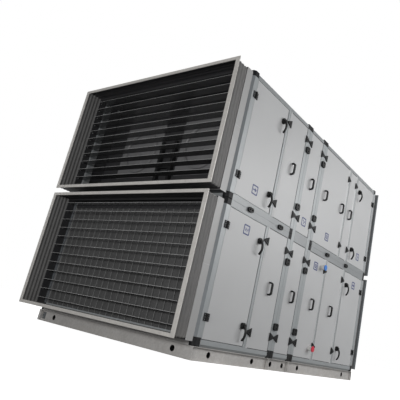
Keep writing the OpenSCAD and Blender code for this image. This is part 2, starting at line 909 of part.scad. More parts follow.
// A rounded plate with two holes, each hole at way times the hole distance from its middle
module connector_plate(x, z, w, h, way) {
    on_face(x, z, connector_t)
        difference() {
            round_plate(w, h, connector_r);
            for (side = [-1, 1]) translate(side * connector_hole * way) circle(d = connector_d);
        }
}

tier_plate_x = [
    tier_plate_end,
    section_start(1) - tier_plate_in,
    section_start(2) + tier_plate_rear,
    casing_l - tier_plate_last,
];

// Plates that join the sections at the double posts, and the tiers at the double rails
module frame_connectors() {
    color(plastic) placed() {
        for (tier = [0, 1], x = section_joints, z = [clamp_low + connector_off, clamp_high - connector_off])
            connector_plate(x, foot(tier) + z, connector_w, connector_h, [0, 1]);
        for (x = tier_plate_x)
            connector_plate(x, foot(1), tier_plate_w, tier_plate_h, [1, 0]);
    }
}

stub_x = coil_post - stub_in;

module stub(z, long, d) {
    translate([stub_x, panel_recess, foot(0) + z]) rotate([90, 0, 0]) cylinder(d = d, h = long);
}

module water_stubs() {
    color("tan") placed() for (z = [stub_high, stub_low]) stub(z, stub_l, stub_d);
}

// A cap pushed over the end of a stub
module stub_cap(z) {
    cap_y = panel_recess - stub_l;
    translate([stub_x, cap_y, foot(0) + z]) rotate([90, 0, 0])
        cylinder(d = stub_d + 2 * cap_wall, h = cap_t);
}

module blue_cap() { color("dodgerblue") placed() stub_cap(stub_high); }
module red_cap() { color("crimson") placed() stub_cap(stub_low); }

base_side_rails();
base_cross_rails();
lower_posts();
upper_posts();
lower_rails();
upper_rails();
lower_corner_blocks();
upper_corner_blocks();
lower_front_door();
lower_rear_door();
upper_front_door();
upper_rear_door();
lower_access_panels();
upper_access_panels();
lower_back_panels();
upper_back_panels();
lower_floor();
deck_panels();
roof_panels();
damper_casings();
duct_sleeves();
duct_flanges();
lower_damper_blades();
upper_damper_blades();
rear_damper_blades();
filter_frame();
filter_pockets();
lower_partition();
water_coil();
fan_wall();
fan_inlets();
lower_hinge_seats();
front_door_fittings();
rear_door_fittings();
upper_door_fittings();
front_lever_low();
front_lever_high();
rear_lever_low();
rear_lever_high();
panel_handles();
panel_clamps();
frame_connectors();
water_stubs();
blue_cap();
red_cap();
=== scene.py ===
"""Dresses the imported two-deck air handling unit: finishes, trims, small hardware, light and camera."""

import json
import logging
import math
from dataclasses import dataclass, field
from enum import Enum
from typing import ClassVar, Iterable, Optional, Sequence, Union

import bmesh
import bpy
from mathutils import Matrix, Vector

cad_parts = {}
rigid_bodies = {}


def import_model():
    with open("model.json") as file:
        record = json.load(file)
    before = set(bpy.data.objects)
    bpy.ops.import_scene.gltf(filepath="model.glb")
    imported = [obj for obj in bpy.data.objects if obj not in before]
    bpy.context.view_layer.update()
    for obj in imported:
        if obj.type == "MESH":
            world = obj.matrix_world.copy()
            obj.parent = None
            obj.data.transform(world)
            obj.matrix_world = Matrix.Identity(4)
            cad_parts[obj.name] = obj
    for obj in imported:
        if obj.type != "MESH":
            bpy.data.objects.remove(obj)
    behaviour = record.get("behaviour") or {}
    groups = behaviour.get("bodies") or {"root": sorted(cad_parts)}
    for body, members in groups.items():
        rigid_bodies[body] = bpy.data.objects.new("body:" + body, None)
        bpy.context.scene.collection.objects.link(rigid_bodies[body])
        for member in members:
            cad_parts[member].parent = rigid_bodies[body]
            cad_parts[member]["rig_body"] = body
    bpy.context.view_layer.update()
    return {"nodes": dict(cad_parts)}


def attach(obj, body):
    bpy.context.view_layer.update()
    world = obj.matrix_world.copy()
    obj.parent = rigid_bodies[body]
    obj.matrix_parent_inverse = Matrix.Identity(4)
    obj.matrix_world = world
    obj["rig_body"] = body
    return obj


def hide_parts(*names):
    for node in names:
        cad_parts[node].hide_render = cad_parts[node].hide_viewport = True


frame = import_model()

log = logging.getLogger("air_handling_unit")

Point = tuple[float, float, float]
Pair = tuple[float, float]
Colour = tuple[float, float, float]
Mesh = bpy.types.Mesh
Material = bpy.types.Material
SceneObject = bpy.types.Object
Node = bpy.types.Node
NodeTree = bpy.types.NodeTree
Socket = bpy.types.NodeSocket
SocketValue = Union[Socket, float, Sequence[float]]
Vertices = Sequence[bmesh.types.BMVert]

MM = 0.001
TIERS = (0, 1)
SIDES = (-1.0, 1.0)
WHOLE: Pair = (0.0, 1.0)
TO_ACCESS: Point = (0.0, -1.0, 0.0)
TO_BACK: Point = (0.0, 1.0, 0.0)
TO_FRONT: Point = (-1.0, 0.0, 0.0)
TO_ROOF: Point = (0.0, 0.0, 1.0)


class Plane(Enum):
    """Plane of an outline: the numbers of its two axes, then of the axis that it is pulled along."""

    XZ = (0, 2, 1)
    YZ = (1, 2, 0)
    XY = (0, 1, 2)


class SocketKind(Enum):
    """Kinds of sockets that the node trees have."""

    FLOAT = "NodeSocketFloat"
    INTEGER = "NodeSocketInt"
    VECTOR = "NodeSocketVector"
    COLOUR = "NodeSocketColor"
    GEOMETRY = "NodeSocketGeometry"
    MATERIAL = "NodeSocketMaterial"


class Pattern(Enum):
    """Small relief that a finish carries."""

    PEEL = "orange peel of a sprayed coat"
    BRUSH_UP = "drawing lines along z"
    BRUSH_ALONG = "drawing lines along x"
    BRUSH_ACROSS = "drawing lines along y"
    SPANGLE = "zinc crystals"
    MOULDED = "fine moulded grain"
    WEAVE = "coated weave"
    FIBRE = "matted fibres"


class Region(Enum):
    """Faces of a node that take a finish of their own."""

    INSIDE = "faces that look into the casing or a mouth"
    FLATS = "diagonal flats that do not look down"
    REAR = "faces behind the casing"
    FRONT = "faces that look to the front"
    FOOT = "faces at the foot of the casing"
    UNDER = "faces that look down"
    FLOOR = "inner faces that look up"
    FRONT_FOOT = "faces at the foot of the casing that look to the front"


@dataclass(frozen=True)
class UnitSizes:
    """Sizes in millimetres: x from the casing's front face, y from its access face, z from the ground."""

    length: float = 3055.0
    width: float = 2134.0
    base_height: float = 105.0
    tier_height: float = 1205.0
    profile: float = 54.0
    corner: float = 72.0
    casing_side: float = 20.0
    casing_low: float = 32.0
    casing_high: float = 22.0
    front_sleeve: Pair = (-233.0, -81.0)
    rear_sleeve: Pair = (3081.0, 3119.0)
    x_shift: float = -1443.0
    y_shift: float = -1044.0
    joints: Pair = (1090.0, 1462.0)
    joint_gap: float = 1.0
    first_post: float = 637.0
    coil_post: float = 1894.0
    wide_post: float = 2160.0
    last_post: float = 2380.0
    panel_face: float = 2.0
    panel_back: float = 46.0
    mouth_side: float = 32.0
    mouth_low: float = 62.0
    mouth_high: float = 52.0
    skin_slack: float = 4.0
    mouth_slack: float = 1.0
    chamber_inset: float = 40.0

    def foot(self, tier: int) -> float:
        """Height of a tier's foot."""
        return self.base_height + tier * self.tier_height

    def head(self, tier: int) -> float:
        """Height of a tier's head."""
        return self.foot(tier) + self.tier_height

    def opening(self, tier: int) -> Pair:
        """Foot and head of a tier's panels and doors."""
        return self.foot(tier) + self.profile, self.head(tier) - self.profile

    def across(self, inset: float) -> Pair:
        """Two places along y: one from the access face, one as far from the back."""
        return inset, self.width - inset

    def inner_post(self, tier: int) -> float:
        """Left edge of the post between a tier's last two fixed panels."""
        return self.coil_post if tier == 0 else self.wide_post

    def place(self, x: float, y: float, z: float) -> Vector:
        """Turns a point of the working frame, in millimetres, into the part's frame in metres."""
        return Vector((x + self.x_shift, y + self.y_shift, z)) * MM

    def fixed_bays(self, tier: int) -> list[Pair]:
        """Edges of a tier's fixed panels on the access side.

        Args:
            tier: The tier.

        Returns:
            The left and right edge of each panel.
        """
        inner = self.inner_post(tier)
        step = self.profile + self.joint_gap
        return [
            (self.first_post + self.profile, self.joints[0] - step),
            (self.joints[0] + step, self.joints[1] - step),
            (self.joints[1] + step, inner),
            (inner + self.profile, self.last_post),
        ]

    def door_bays(self) -> list[Pair]:
        """Left and right edges of the two door openings."""
        return [(self.corner, self.first_post), (self.last_post + self.profile, self.length - self.corner)]

    def roof_bays(self) -> list[Pair]:
        """Edges of the roof panels.

        Returns:
            The front and rear edge of each panel.
        """
        step = self.profile + self.joint_gap
        starts = (self.profile, *(joint + step for joint in self.joints))
        ends = (*(joint - step for joint in self.joints), self.length - self.profile)
        return list(zip(starts, ends))

    def looks_inside(self, place: Vector) -> bool:
        """Tells whether a point of the part's frame lies in the casing or in one of its mouths.

        Args:
            place: The point, in metres.

        Returns:
            True inside.
        """
        x, y, z = (place / MM) - Vector((self.x_shift, self.y_shift, 0.0))
        skin_low, skin_high = self.across(self.panel_back - self.skin_slack)
        side_low, side_high = self.across(self.mouth_side - self.mouth_slack)
        in_casing = 0.0 < x < self.length and skin_low < y < skin_high
        in_mouth = side_low < y < side_high
        sill, lintel = self.mouth_low - self.mouth_slack, self.mouth_high - self.mouth_slack
        for tier in TIERS:
            low, high = self.foot(tier), self.head(tier)
            if in_casing and low + self.chamber_inset < z < high - self.chamber_inset:
                return True
            if in_mouth and low + sill < z < high - lintel:
                return True
        return False


UNIT = UnitSizes()


class NodeBoard:
    """Short ways to add nodes to a tree and to join them."""

    # Numbers of a Mix node's colour sockets
    MIX_FIRST, MIX_SECOND, MIX_RESULT = 6, 7, 2

    def __init__(self, tree: NodeTree) -> None:
        """Keeps the tree."""
        self.tree = tree

    def add(self, kind: str, **settings: object) -> Node:
        """Adds a node and sets its properties.

        Args:
            kind: The node's type name.
            **settings: Properties of the node.

        Returns:
            The new node.
        """
        node = self.tree.nodes.new(kind)
        for key, value in settings.items():
            setattr(node, key, value)
        return node

    def feed(self, socket: Socket, value: SocketValue) -> None:
        """Joins another socket to an input, or sets the input's value.

        Args:
            socket: The input.
            value: A socket or a plain value.
        """
        if isinstance(value, Socket):
            self.tree.links.new(value, socket)
        else:
            socket.default_value = value

    def fill(self, node: Node, values: dict[str, SocketValue]) -> Node:
        """Feeds several inputs of a node.

        Args:
            node: The node.
            values: Socket or plain value of each input by its label.

        Returns:
            The node.
        """
        for label, value in values.items():
            self.feed(node.inputs[label], value)
        return node

    def math(self, operation: str, first: SocketValue, second: SocketValue, clamp: bool = False) -> Socket:
        """Adds a Math node.

        Args:
            operation: The node's operation.
            first: First value or socket.
            second: Second value or socket.
            clamp: Whether the result stays between 0 and 1.

        Returns:
            The result's socket.
        """
        node = self.add("ShaderNodeMath", operation=operation, use_clamp=clamp)
        self.feed(node.inputs[0], first)
        self.feed(node.inputs[1], second)
        return node.outputs[0]

    def blend(self, factor: SocketValue, first: SocketValue, second: SocketValue,
              mode: str = "MIX") -> Socket:
        """Adds a colour Mix node.

        Args:
            factor: Share of the second colour.
            first: First colour or socket.
            second: Second colour or socket.
            mode: Blend mode.

        Returns:
            The mixed colour's socket.
        """
        node = self.add("ShaderNodeMix", data_type="RGBA", blend_type=mode)
        self.feed(node.inputs[0], factor)
        self.feed(node.inputs[self.MIX_FIRST], first)
        self.feed(node.inputs[self.MIX_SECOND], second)
        return node.outputs[self.MIX_RESULT]

    def remap(self, value: SocketValue, source: Pair, target: Pair) -> Socket:
        """Maps a value from one span to another and clamps it.

        Args:
            value: Value or socket.
            source: Low and high end of the value.
            target: What these ends become.

        Returns:
            The mapped value's socket.
        """
        labels = ("Value", "From Min", "From Max", "To Min", "To Max")
        node = self.add("ShaderNodeMapRange", clamp=True)
        return self.fill(node, dict(zip(labels, (value, *source, *target)))).outputs[0]

    def object_place(self) -> Socket:
        """Adds the object coordinates."""
        return self.add("ShaderNodeTexCoord").outputs["Object"]

    def vector(self, parts: dict[str, SocketValue]) -> Socket:
        """Adds a vector from its parts by axis."""
        return self.fill(self.add("ShaderNodeCombineXYZ"), parts).outputs[0]

    def noise(self, place: Socket, scale: SocketValue, detail: SocketValue, roughness: float) -> Socket:
        """Adds a noise texture.

        Args:
            place: Coordinates.
            scale: Its scale.
            detail: Octaves of detail.
            roughness: Weight of the fine octaves.

        Returns:
            The noise's socket.
        """
        values = {"Vector": place, "Scale": scale, "Detail": detail, "Roughness": roughness}
        return self.fill(self.add("ShaderNodeTexNoise"), values).outputs[0]

    def tint(self, colour: SocketValue, value: Socket) -> Socket:
        """Multiplies a colour by a grey.

        Args:
            colour: The colour.
            value: Lightness of the grey.

        Returns:
            The colour's socket.
        """
        grey = self.fill(self.add("ShaderNodeCombineColor"), {"Red": value, "Green": value, "Blue": value})
        return self.blend(1.0, colour, grey.outputs[0], "MULTIPLY")

    def group(self, tree: NodeTree, values: dict[str, SocketValue]) -> Node:
        """Adds a shared group with its inputs fed."""
        return self.fill(self.add("ShaderNodeGroup", node_tree=tree), values)


TreeParts = tuple[NodeTree, NodeBoard, Node, Node]


def start_tree(name: str, kind: str, inputs: Sequence[tuple[str, SocketKind, object]],
               outputs: Sequence[tuple[str, SocketKind]]) -> TreeParts:
    """Starts a node tree with its sockets.

    Args:
        name: The tree's name.
        kind: The tree's type name.
        inputs: Label, kind and default of each input; None keeps the kind's own default.
        outputs: Label and kind of each output.

    Returns:
        The tree, its board, its input node and its output node.
    """
    tree = bpy.data.node_groups.new(name, kind)
    for label, socket_kind, default in inputs:
        socket = tree.interface.new_socket(label, in_out="INPUT", socket_type=socket_kind.value)
        if default is not None:
            socket.default_value = default
    for label, socket_kind in outputs:
        tree.interface.new_socket(label, in_out="OUTPUT", socket_type=socket_kind.value)
    board = NodeBoard(tree)
    return tree, board, board.add("NodeGroupInput"), board.add("NodeGroupOutput")


class ShaderGroups:
    """Shader effects that several finishes share, each built once."""

    mid_grey: tuple[float, ...] = (0.5, 0.5, 0.5, 1.0)
    dust_colour: tuple[float, ...] = (0.4, 0.37, 0.33, 1.0)

    def __init__(self) -> None:
        """Builds the groups."""
        self.grain = self._grain()
        self.mottle = self._mottle()
        self.dust = self._dust()
        self.spangle = self._spangle()
        self.weave = self._weave()

    @staticmethod
    def _start(name: str, inputs: dict[str, object], outputs: Sequence[str]) -> TreeParts:
        """Starts a group.

        Args:
            name: The group's name.
            inputs: Default of each input by its label, a number or a colour.
            outputs: Labels of the outputs.

        Returns:
            The tree, its board, its input node and its output node.
        """
        def kind(is_colour: bool) -> SocketKind:
            """Kind of a socket."""
            return SocketKind.COLOUR if is_colour else SocketKind.FLOAT

        sockets = [(label, kind(isinstance(default, tuple)), default) for label, default in inputs.items()]
        results = [(label, kind(label == "Color")) for label in outputs]
        return start_tree(name, "ShaderNodeTree", sockets, results)

    def _grain(self) -> NodeTree:
        """Noise stretched along the axes: paint peel, drawing lines, moulded grain.

        Returns:
            The group, with a Value from 0 to 1.
        """
        scales = {f"Scale {axis}": 100.0 for axis in "XYZ"}
        tree, board, start, end = self._start("fine_grain", {**scales, "Detail": 2.0}, ["Value"])
        scale = board.vector({axis: start.outputs[f"Scale {axis}"] for axis in "XYZ"})
        stretched = board.add("ShaderNodeVectorMath", operation="MULTIPLY")
        board.feed(stretched.inputs[0], board.object_place())
        board.feed(stretched.inputs[1], scale)
        noise = board.noise(stretched.outputs[0], 1.0, start.outputs["Detail"], 0.5)
        board.feed(end.inputs["Value"], board.remap(noise, (0.25, 0.75), WHOLE))
        return tree

    def _mottle(self) -> NodeTree:
        """Broad and middling change of tone over a surface.

        Returns:
            The group, with a Color and a Value.
        """
        inputs = {"Base": self.mid_grey, "Depth": 0.1, "Scale": 3.0}
        tree, board, start, end = self._start("broad_mottle", inputs, ["Color", "Value"])
        noise = board.noise(board.object_place(), start.outputs["Scale"], 5.0, 0.6)
        value = board.remap(noise, (0.3, 0.7), WHOLE)
        dark = board.math("SUBTRACT", 1.0, start.outputs["Depth"])
        shade = board.math("ADD", dark, board.math("MULTIPLY", value, start.outputs["Depth"]))
        board.feed(end.inputs["Color"], board.tint(start.outputs["Base"], shade))
        board.feed(end.inputs["Value"], value)
        return tree

    def _dust(self) -> NodeTree:
        """Dust on faces that look up, and splashes close to the ground.

        Returns:
            The group, with a Color and a Mask.
        """
        inputs = {"Base": self.mid_grey, "Dust": self.dust_colour, "Amount": 0.2, "Reach": 0.35}
        tree, board, start, end = self._start("settled_dust", inputs, ["Color", "Mask"])
        place = board.object_place()
        height = board.fill(board.add("ShaderNodeSeparateXYZ"), {"Vector": place}).outputs["Z"]
        low = board.math("SUBTRACT", 1.0, board.math("DIVIDE", height, start.outputs["Reach"]), clamp=True)
        normal = board.add("ShaderNodeNewGeometry").outputs["Normal"]
        facing = board.fill(board.add("ShaderNodeSeparateXYZ"), {"Vector": normal}).outputs["Z"]
        upward = board.remap(facing, (0.5, 1.0), (0.0, 0.7))
        patch = board.remap(board.noise(place, 9.0, 8.0, 0.7), (0.35, 0.7), (0.1, 1.0))
        settled = board.math("MULTIPLY", board.math("MAXIMUM", low, upward), patch)
        mask = board.math("MULTIPLY", settled, start.outputs["Amount"], clamp=True)
        board.feed(end.inputs["Color"], board.blend(mask, start.outputs["Base"], start.outputs["Dust"]))
        board.feed(end.inputs["Mask"], mask)
        return tree

    def _spangle(self) -> NodeTree:
        """Crystals of hot-dip zinc: one tone for each cell.

        Returns:
            The group, with a Value.
        """
        tree, board, start, end = self._start("zinc_spangle", {"Scale": 70.0}, ["Value"])
        cells = board.fill(board.add("ShaderNodeTexVoronoi", feature="F1"),
                           {"Vector": board.object_place(), "Scale": start.outputs["Scale"]})
        tone = board.fill(board.add("ShaderNodeSeparateColor"), {"Color": cells.outputs["Color"]})
        board.feed(end.inputs["Value"], tone.outputs[0])
        return tree

    def _weave(self) -> NodeTree:
        """Threads crossing at right angles.

        Returns:
            The group, with a Value.
        """
        tree, board, start, end = self._start("crossed_threads", {"Scale": 220.0}, ["Value"])
        place = board.object_place()
        waves: dict[str, Socket] = {}
        for axis in "XYZ":
            wave = board.add("ShaderNodeTexWave", wave_type="BANDS", bands_direction=axis)
            board.fill(wave, {"Vector": place, "Scale": start.outputs["Scale"], "Distortion": 0.4})
            waves[axis] = wave.outputs["Fac"]
        crossings = [board.math("MULTIPLY", waves[axis], waves["Z"]) for axis in "XY"]
        board.feed(end.inputs["Value"], board.math("MAXIMUM", *crossings))
        return tree


def blank_material(name: str) -> tuple[Material, NodeBoard]:
    """Starts a material without nodes.

    Args:
        name: The material's name.

    Returns:
        The material and its board.
    """
    material = bpy.data.materials.new(name)
    material.use_nodes = True
    material.node_tree.nodes.clear()
    return material, NodeBoard(material.node_tree)


@dataclass(frozen=True)
class Finish:
    """One finish: its colour, gloss, relief, change of tone and dust."""

    name: str
    colour: Colour
    rough: float
    pattern: Pattern
    metallic: float = 0.0
    mottle: float = 0.1
    mottle_scale: float = 2.0
    tone: float = 0.05
    relief: float = 0.03
    dust: float = 0.1
    grain: float = 1.0
    specular: float = 0.5

    rough_swing: ClassVar[float] = 0.05
    dust_rough: ClassVar[float] = 0.3
    bump_height: ClassVar[float] = 0.001
    spangle_scale: ClassVar[float] = 70.0
    weave_scale: ClassVar[float] = 190.0
    fibre_detail: ClassVar[float] = 6.0
    grain_detail: ClassVar[float] = 2.0
    grain_scales: ClassVar[dict[Pattern, Point]] = {
        Pattern.PEEL: (420.0, 420.0, 420.0),
        Pattern.BRUSH_UP: (900.0, 900.0, 6.0),
        Pattern.BRUSH_ALONG: (6.0, 900.0, 900.0),
        Pattern.BRUSH_ACROSS: (900.0, 6.0, 900.0),
        Pattern.MOULDED: (1300.0, 1300.0, 1300.0),
        Pattern.FIBRE: (160.0, 160.0, 60.0),
    }

    def _relief_value(self, board: NodeBoard, groups: ShaderGroups) -> Socket:
        """Adds the pattern's group.

        Args:
            board: The material's board.
            groups: The shared groups.

        Returns:
            The socket of the relief's value.
        """
        if self.pattern is Pattern.SPANGLE:
            return board.group(groups.spangle, {"Scale": self.spangle_scale * self.grain}).outputs["Value"]
        if self.pattern is Pattern.WEAVE:
            return board.group(groups.weave, {"Scale": self.weave_scale * self.grain}).outputs["Value"]
        detail = self.fibre_detail if self.pattern is Pattern.FIBRE else self.grain_detail
        scales = zip("XYZ", self.grain_scales[self.pattern])
        values = {f"Scale {axis}": scale * self.grain for axis, scale in scales}
        return board.group(groups.grain, {**values, "Detail": detail}).outputs["Value"]

    def build(self, groups: ShaderGroups) -> Material:
        """Makes the material.

        Args:
            groups: The shared groups.

        Returns:
            The material.
        """
        material, board = blank_material(self.name)
        shader = board.add("ShaderNodeBsdfPrincipled")
        board.feed(board.add("ShaderNodeOutputMaterial").inputs["Surface"], shader.outputs[0])
        base = (*self.colour, 1.0)
        mottle = board.group(groups.mottle, {"Base": base, "Depth": self.mottle, "Scale": self.mottle_scale})
        dust = board.group(groups.dust, {"Base": mottle.outputs["Color"], "Amount": self.dust})
        relief = self._relief_value(board, groups)
        tone = board.remap(relief, WHOLE, (1.0 - self.tone, 1.0 + self.tone))
        board.feed(shader.inputs["Base Color"], board.tint(dust.outputs["Color"], tone))
        gloss = (self.rough - self.rough_swing, self.rough + self.rough_swing)
        worn = board.remap(mottle.outputs["Value"], WHOLE, gloss)
        dusty = board.math("MULTIPLY", dust.outputs["Mask"], self.dust_rough)
        board.feed(shader.inputs["Roughness"], board.math("ADD", worn, dusty, clamp=True))
        shader.inputs["Metallic"].default_value = self.metallic
        shader.inputs["Specular IOR Level"].default_value = self.specular
        bump = board.add("ShaderNodeBump")
        board.fill(bump, {"Strength": self.relief, "Distance": self.bump_height, "Height": relief})
        board.feed(shader.inputs["Normal"], bump.outputs[0])
        return material


FINISHES: dict[str, Finish] = {
    "galvanised": Finish("galvanised_base", (0.62, 0.605, 0.59), 0.48, Pattern.SPANGLE,
                         metallic=0.35, mottle=0.16, mottle_scale=2.5, tone=0.06, dust=0.35),
    # A darker copy of the posts' alloy: painted shade on the diagonal flats and the rear flanges.
    "shaded_alloy_flats": Finish("drawn_alloy_shaded_flats", (0.235, 0.252, 0.265), 0.42, Pattern.BRUSH_UP,
                          metallic=0.2, mottle=0.05, tone=0.03, dust=0.08),
    "alloy": Finish("drawn_alloy_posts", (0.345, 0.365, 0.375), 0.42, Pattern.BRUSH_UP,
                    metallic=0.15, mottle=0.05, tone=0.03, dust=0.08),
    # A darker copy of the posts' alloy: painted shade on the rails, the inner faces of the upper posts and
    # the rear blades.
    "shaded_alloy_rails": Finish("drawn_alloy_shaded_rails", (0.27, 0.283, 0.29), 0.42, Pattern.BRUSH_ALONG,
                          metallic=0.15, mottle=0.05, tone=0.03),
    "corner_plastic": Finish(
        "corner_plastic", (0.013, 0.0135, 0.015), 0.5, Pattern.MOULDED,
        mottle=0.2, mottle_scale=30.0, tone=0.06, relief=0.12, dust=0.04, specular=0.22),
    "door_paint": Finish("door_coat", (0.50, 0.505, 0.51), 0.40, Pattern.PEEL,
                         mottle=0.05, mottle_scale=1.6, tone=0.012, relief=0.05),
    "panel_paint": Finish("panel_coat", (0.50, 0.505, 0.51), 0.40, Pattern.PEEL,
                          mottle=0.05, mottle_scale=1.3, tone=0.012, relief=0.05),
    "casing_paint": Finish("damper_casing_coat", (0.40, 0.40, 0.40), 0.42, Pattern.PEEL,
                           mottle=0.05, mottle_scale=2.2, tone=0.012, relief=0.05),
    "sleeve_fabric": Finish("sleeve_rubber", (0.162, 0.159, 0.157), 0.62, Pattern.WEAVE,
                            mottle=0.12, mottle_scale=6.0, relief=0.1, dust=0.2),
    "flange_steel": Finish("flange_zinc", (0.62, 0.60, 0.57), 0.42, Pattern.SPANGLE,
                           metallic=0.25, mottle_scale=5.0, dust=0.08),
    # Pale: painted highlight on the blades' front edges.
    "lit_blade_lip": Finish("lit_blade_lip", (0.55, 0.55, 0.55), 0.4, Pattern.BRUSH_ACROSS,
                        metallic=0.2, mottle_scale=4.0, dust=0.05),
    "polished_blades": Finish("polished_blades", (0.38, 0.38, 0.385), 0.14, Pattern.BRUSH_ACROSS,
                              metallic=0.85, mottle_scale=4.0),
    # Near-black blade alloy: painted shade on the upper blades.
    "blade_alloy": Finish("blade_alloy", (0.095, 0.095, 0.097), 0.22, Pattern.BRUSH_ACROSS,
                          metallic=0.45, mottle_scale=4.0, dust=0.05),
    "filter_steel": Finish("filter_zinc", (0.20, 0.20, 0.20), 0.5, Pattern.SPANGLE,
                           metallic=0.2, mottle=0.12, mottle_scale=5.0, dust=0.05),
    "filter_cloth": Finish("filter_cloth", (0.095, 0.095, 0.095), 0.9, Pattern.FIBRE,
                           mottle=0.2, mottle_scale=8.0, tone=0.15, relief=0.4, dust=0.0, specular=0.1),
    "coil_fins": Finish("fin_alloy", (0.40, 0.41, 0.42), 0.4, Pattern.BRUSH_UP,
                        metallic=0.5, mottle=0.12, mottle_scale=6.0, tone=0.06, relief=0.05),
    "fan_steel": Finish("fan_coat", (0.17, 0.17, 0.173), 0.45, Pattern.PEEL,
                        mottle_scale=4.0, tone=0.02, relief=0.05, dust=0.05),
    "hardware_plastic": Finish(
        "hardware_plastic", (0.014, 0.0145, 0.015), 0.5, Pattern.MOULDED,
        mottle=0.25, mottle_scale=40.0, tone=0.08, relief=0.12, dust=0.03, specular=0.22),
    "pipe_metal": Finish("stub_zinc", (0.66, 0.65, 0.63), 0.36, Pattern.BRUSH_ACROSS,
                         metallic=0.2, mottle=0.15, mottle_scale=25.0, tone=0.06, relief=0.04, dust=0.05),
    "blue_plastic": Finish("cap_blue", (0.025, 0.20, 0.66), 0.35, Pattern.MOULDED,
                           mottle_scale=30.0, tone=0.04, relief=0.08, dust=0.02),
    "red_plastic": Finish("cap_red", (0.72, 0.035, 0.07), 0.35, Pattern.MOULDED,
                          mottle_scale=30.0, tone=0.04, relief=0.08, dust=0.02),
    # Pale: painted light on sleeve and casing floors that look up.
    "lit_sleeve_floor": Finish("lit_sleeve_floor", (0.48, 0.475, 0.46), 0.6, Pattern.WEAVE,
                           mottle=0.12, mottle_scale=6.0, relief=0.1, dust=0.3),
    # Dark alloy: the hinge screws' own tone, and painted shade on inner faces of posts and rails and on the
    # plate on the base's web.
    "dark_alloy_and_shade": Finish("dark_alloy_and_shade", (0.13, 0.14, 0.15), 0.45, Pattern.BRUSH_UP,
                           metallic=0.2, mottle=0.08, tone=0.03, dust=0.05),
    # Near black: painted shade on inner faces, undersides, the fan wall and the filter's head seal, where
    # little light reaches.
    "shade_black_coat": Finish("shade_black_coat", (0.034, 0.034, 0.036), 0.5, Pattern.SPANGLE,
                          metallic=0.1, mottle=0.12, mottle_scale=3.0),
    "gasket": Finish("gasket_rubber", (0.055, 0.057, 0.06), 0.7, Pattern.MOULDED,
                     mottle=0.2, mottle_scale=20.0, tone=0.1, relief=0.15),
    "screw_zinc": Finish("screw_zinc", (0.55, 0.55, 0.54), 0.35, Pattern.SPANGLE,
                         metallic=0.8, mottle=0.15, mottle_scale=20.0, tone=0.06, dust=0.05, grain=4.0),
    "label_film": Finish("label_film", (0.47, 0.48, 0.51), 0.4, Pattern.MOULDED,
                         mottle=0.04, mottle_scale=12.0, tone=0.02, dust=0.02),
    "label_ink": Finish("label_ink", (0.03, 0.045, 0.17), 0.45, Pattern.MOULDED,
                        mottle=0.08, mottle_scale=30.0, tone=0.03, dust=0.02),
}


class Palette:
    """The materials of the unit by finish, each made once."""

    def __init__(self) -> None:
        """Makes the shared groups; the materials follow when asked for."""
        self.groups = ShaderGroups()
        self.made: dict[str, Material] = {}

    def get(self, key: str) -> Material:
        """Gives the material of a finish.

        Args:
            key: The finish's key.

        Returns:
            The material.
        """
        if key not in self.made:
            self.made[key] = FINISHES[key].build(self.groups)
        return self.made[key]

    def pick(self, *keys: str) -> list[Material]:
        """Gives the materials of several finishes in order."""
        return [self.get(key) for key in keys]


def rectangle(low: Pair, high: Pair) -> list[Pair]:
    """Corners of a rectangle, anticlockwise."""
    return [low, (high[0], low[1]), high, (low[0], high[1])]


def shrunk(low: Pair, high: Pair, inset: float) -> tuple[Pair, Pair]:
    """Low and high corner of a rectangle whose sides move inwards."""
    return (low[0] + inset, low[1] + inset), (high[0] - inset, high[1] - inset)


def rounded(low: Pair, high: Pair, radius: float, steps: int = 6) -> list[Pair]:
    """Outline of a rectangle with round corners.

    Args:
        low: Low corner.
        high: High corner.
        radius: Corner radius.
        steps: Edges in each corner.

    Returns:
        The points, anticlockwise.
    """
    points: list[Pair] = []
    (x0, y0), (x1, y1) = shrunk(low, high, radius)
    for x, y, start in ((x1, y0, -90.0), (x1, y1, 0.0), (x0, y1, 90.0), (x0, y0, 180.0)):
        for k in range(steps + 1):
            angle = math.radians(start + 90.0 * k / steps)
            points.append((x + radius * math.cos(angle), y + radius * math.sin(angle)))
    return points


def turns(steps: int) -> list[float]:
    """Angles that share out a full turn."""
    return [2.0 * math.pi * k / steps for k in range(steps)]


def circle(centre: Pair, radius: float, steps: int) -> list[Pair]:
    """Points of a circle, anticlockwise."""
    return [(centre[0] + radius * math.cos(t), centre[1] + radius * math.sin(t)) for t in turns(steps)]


def link(name: str, data: bpy.types.ID) -> SceneObject:
    """Adds an object to the scene.

    Args:
        name: Its name.
        data: Its mesh, lamp or camera.

    Returns:
        The object.
    """
    made = bpy.data.objects.new(name, data)
    bpy.context.scene.collection.objects.link(made)
    return made


def put_on_body(piece: SceneObject, body: str,
                stands_for: Iterable[str] = ()) -> SceneObject:
    """Ties a finished piece to its body.

    Args:
        piece: The piece.
        body: Body that it moves with.
        stands_for: Nodes that it takes the place of.

    Returns:
        The piece.
    """
    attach(piece, body)
    nodes = list(stands_for)
    if nodes:
        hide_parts(*nodes)
    log.info("%s: %d faces on %s", piece.name, len(piece.data.polygons), body)
    return piece


SHADE_DEGREES = 35.0
BEVEL_DEGREES = 40.0


def shade_by_angle(mesh: Mesh) -> None:
    """Smooth shading with sharp edges past an angle."""
    mesh.shade_smooth()
    mesh.set_sharp_from_angle(angle=math.radians(SHADE_DEGREES))


def weigh_normals(mesh: Mesh) -> None:
    """Smooth shading that leaves large faces flat: each vertex leans on its largest faces.

    Args:
        mesh: A mesh whose sharp edges are rounded.
    """
    mesh.shade_smooth()
    leans = [Vector() for _ in mesh.vertices]
    for polygon in mesh.polygons:
        for index in polygon.vertices:
            leans[index] += polygon.normal * polygon.area
    mesh.normals_split_custom_set_from_vertices([lean.normalized() for lean in leans])


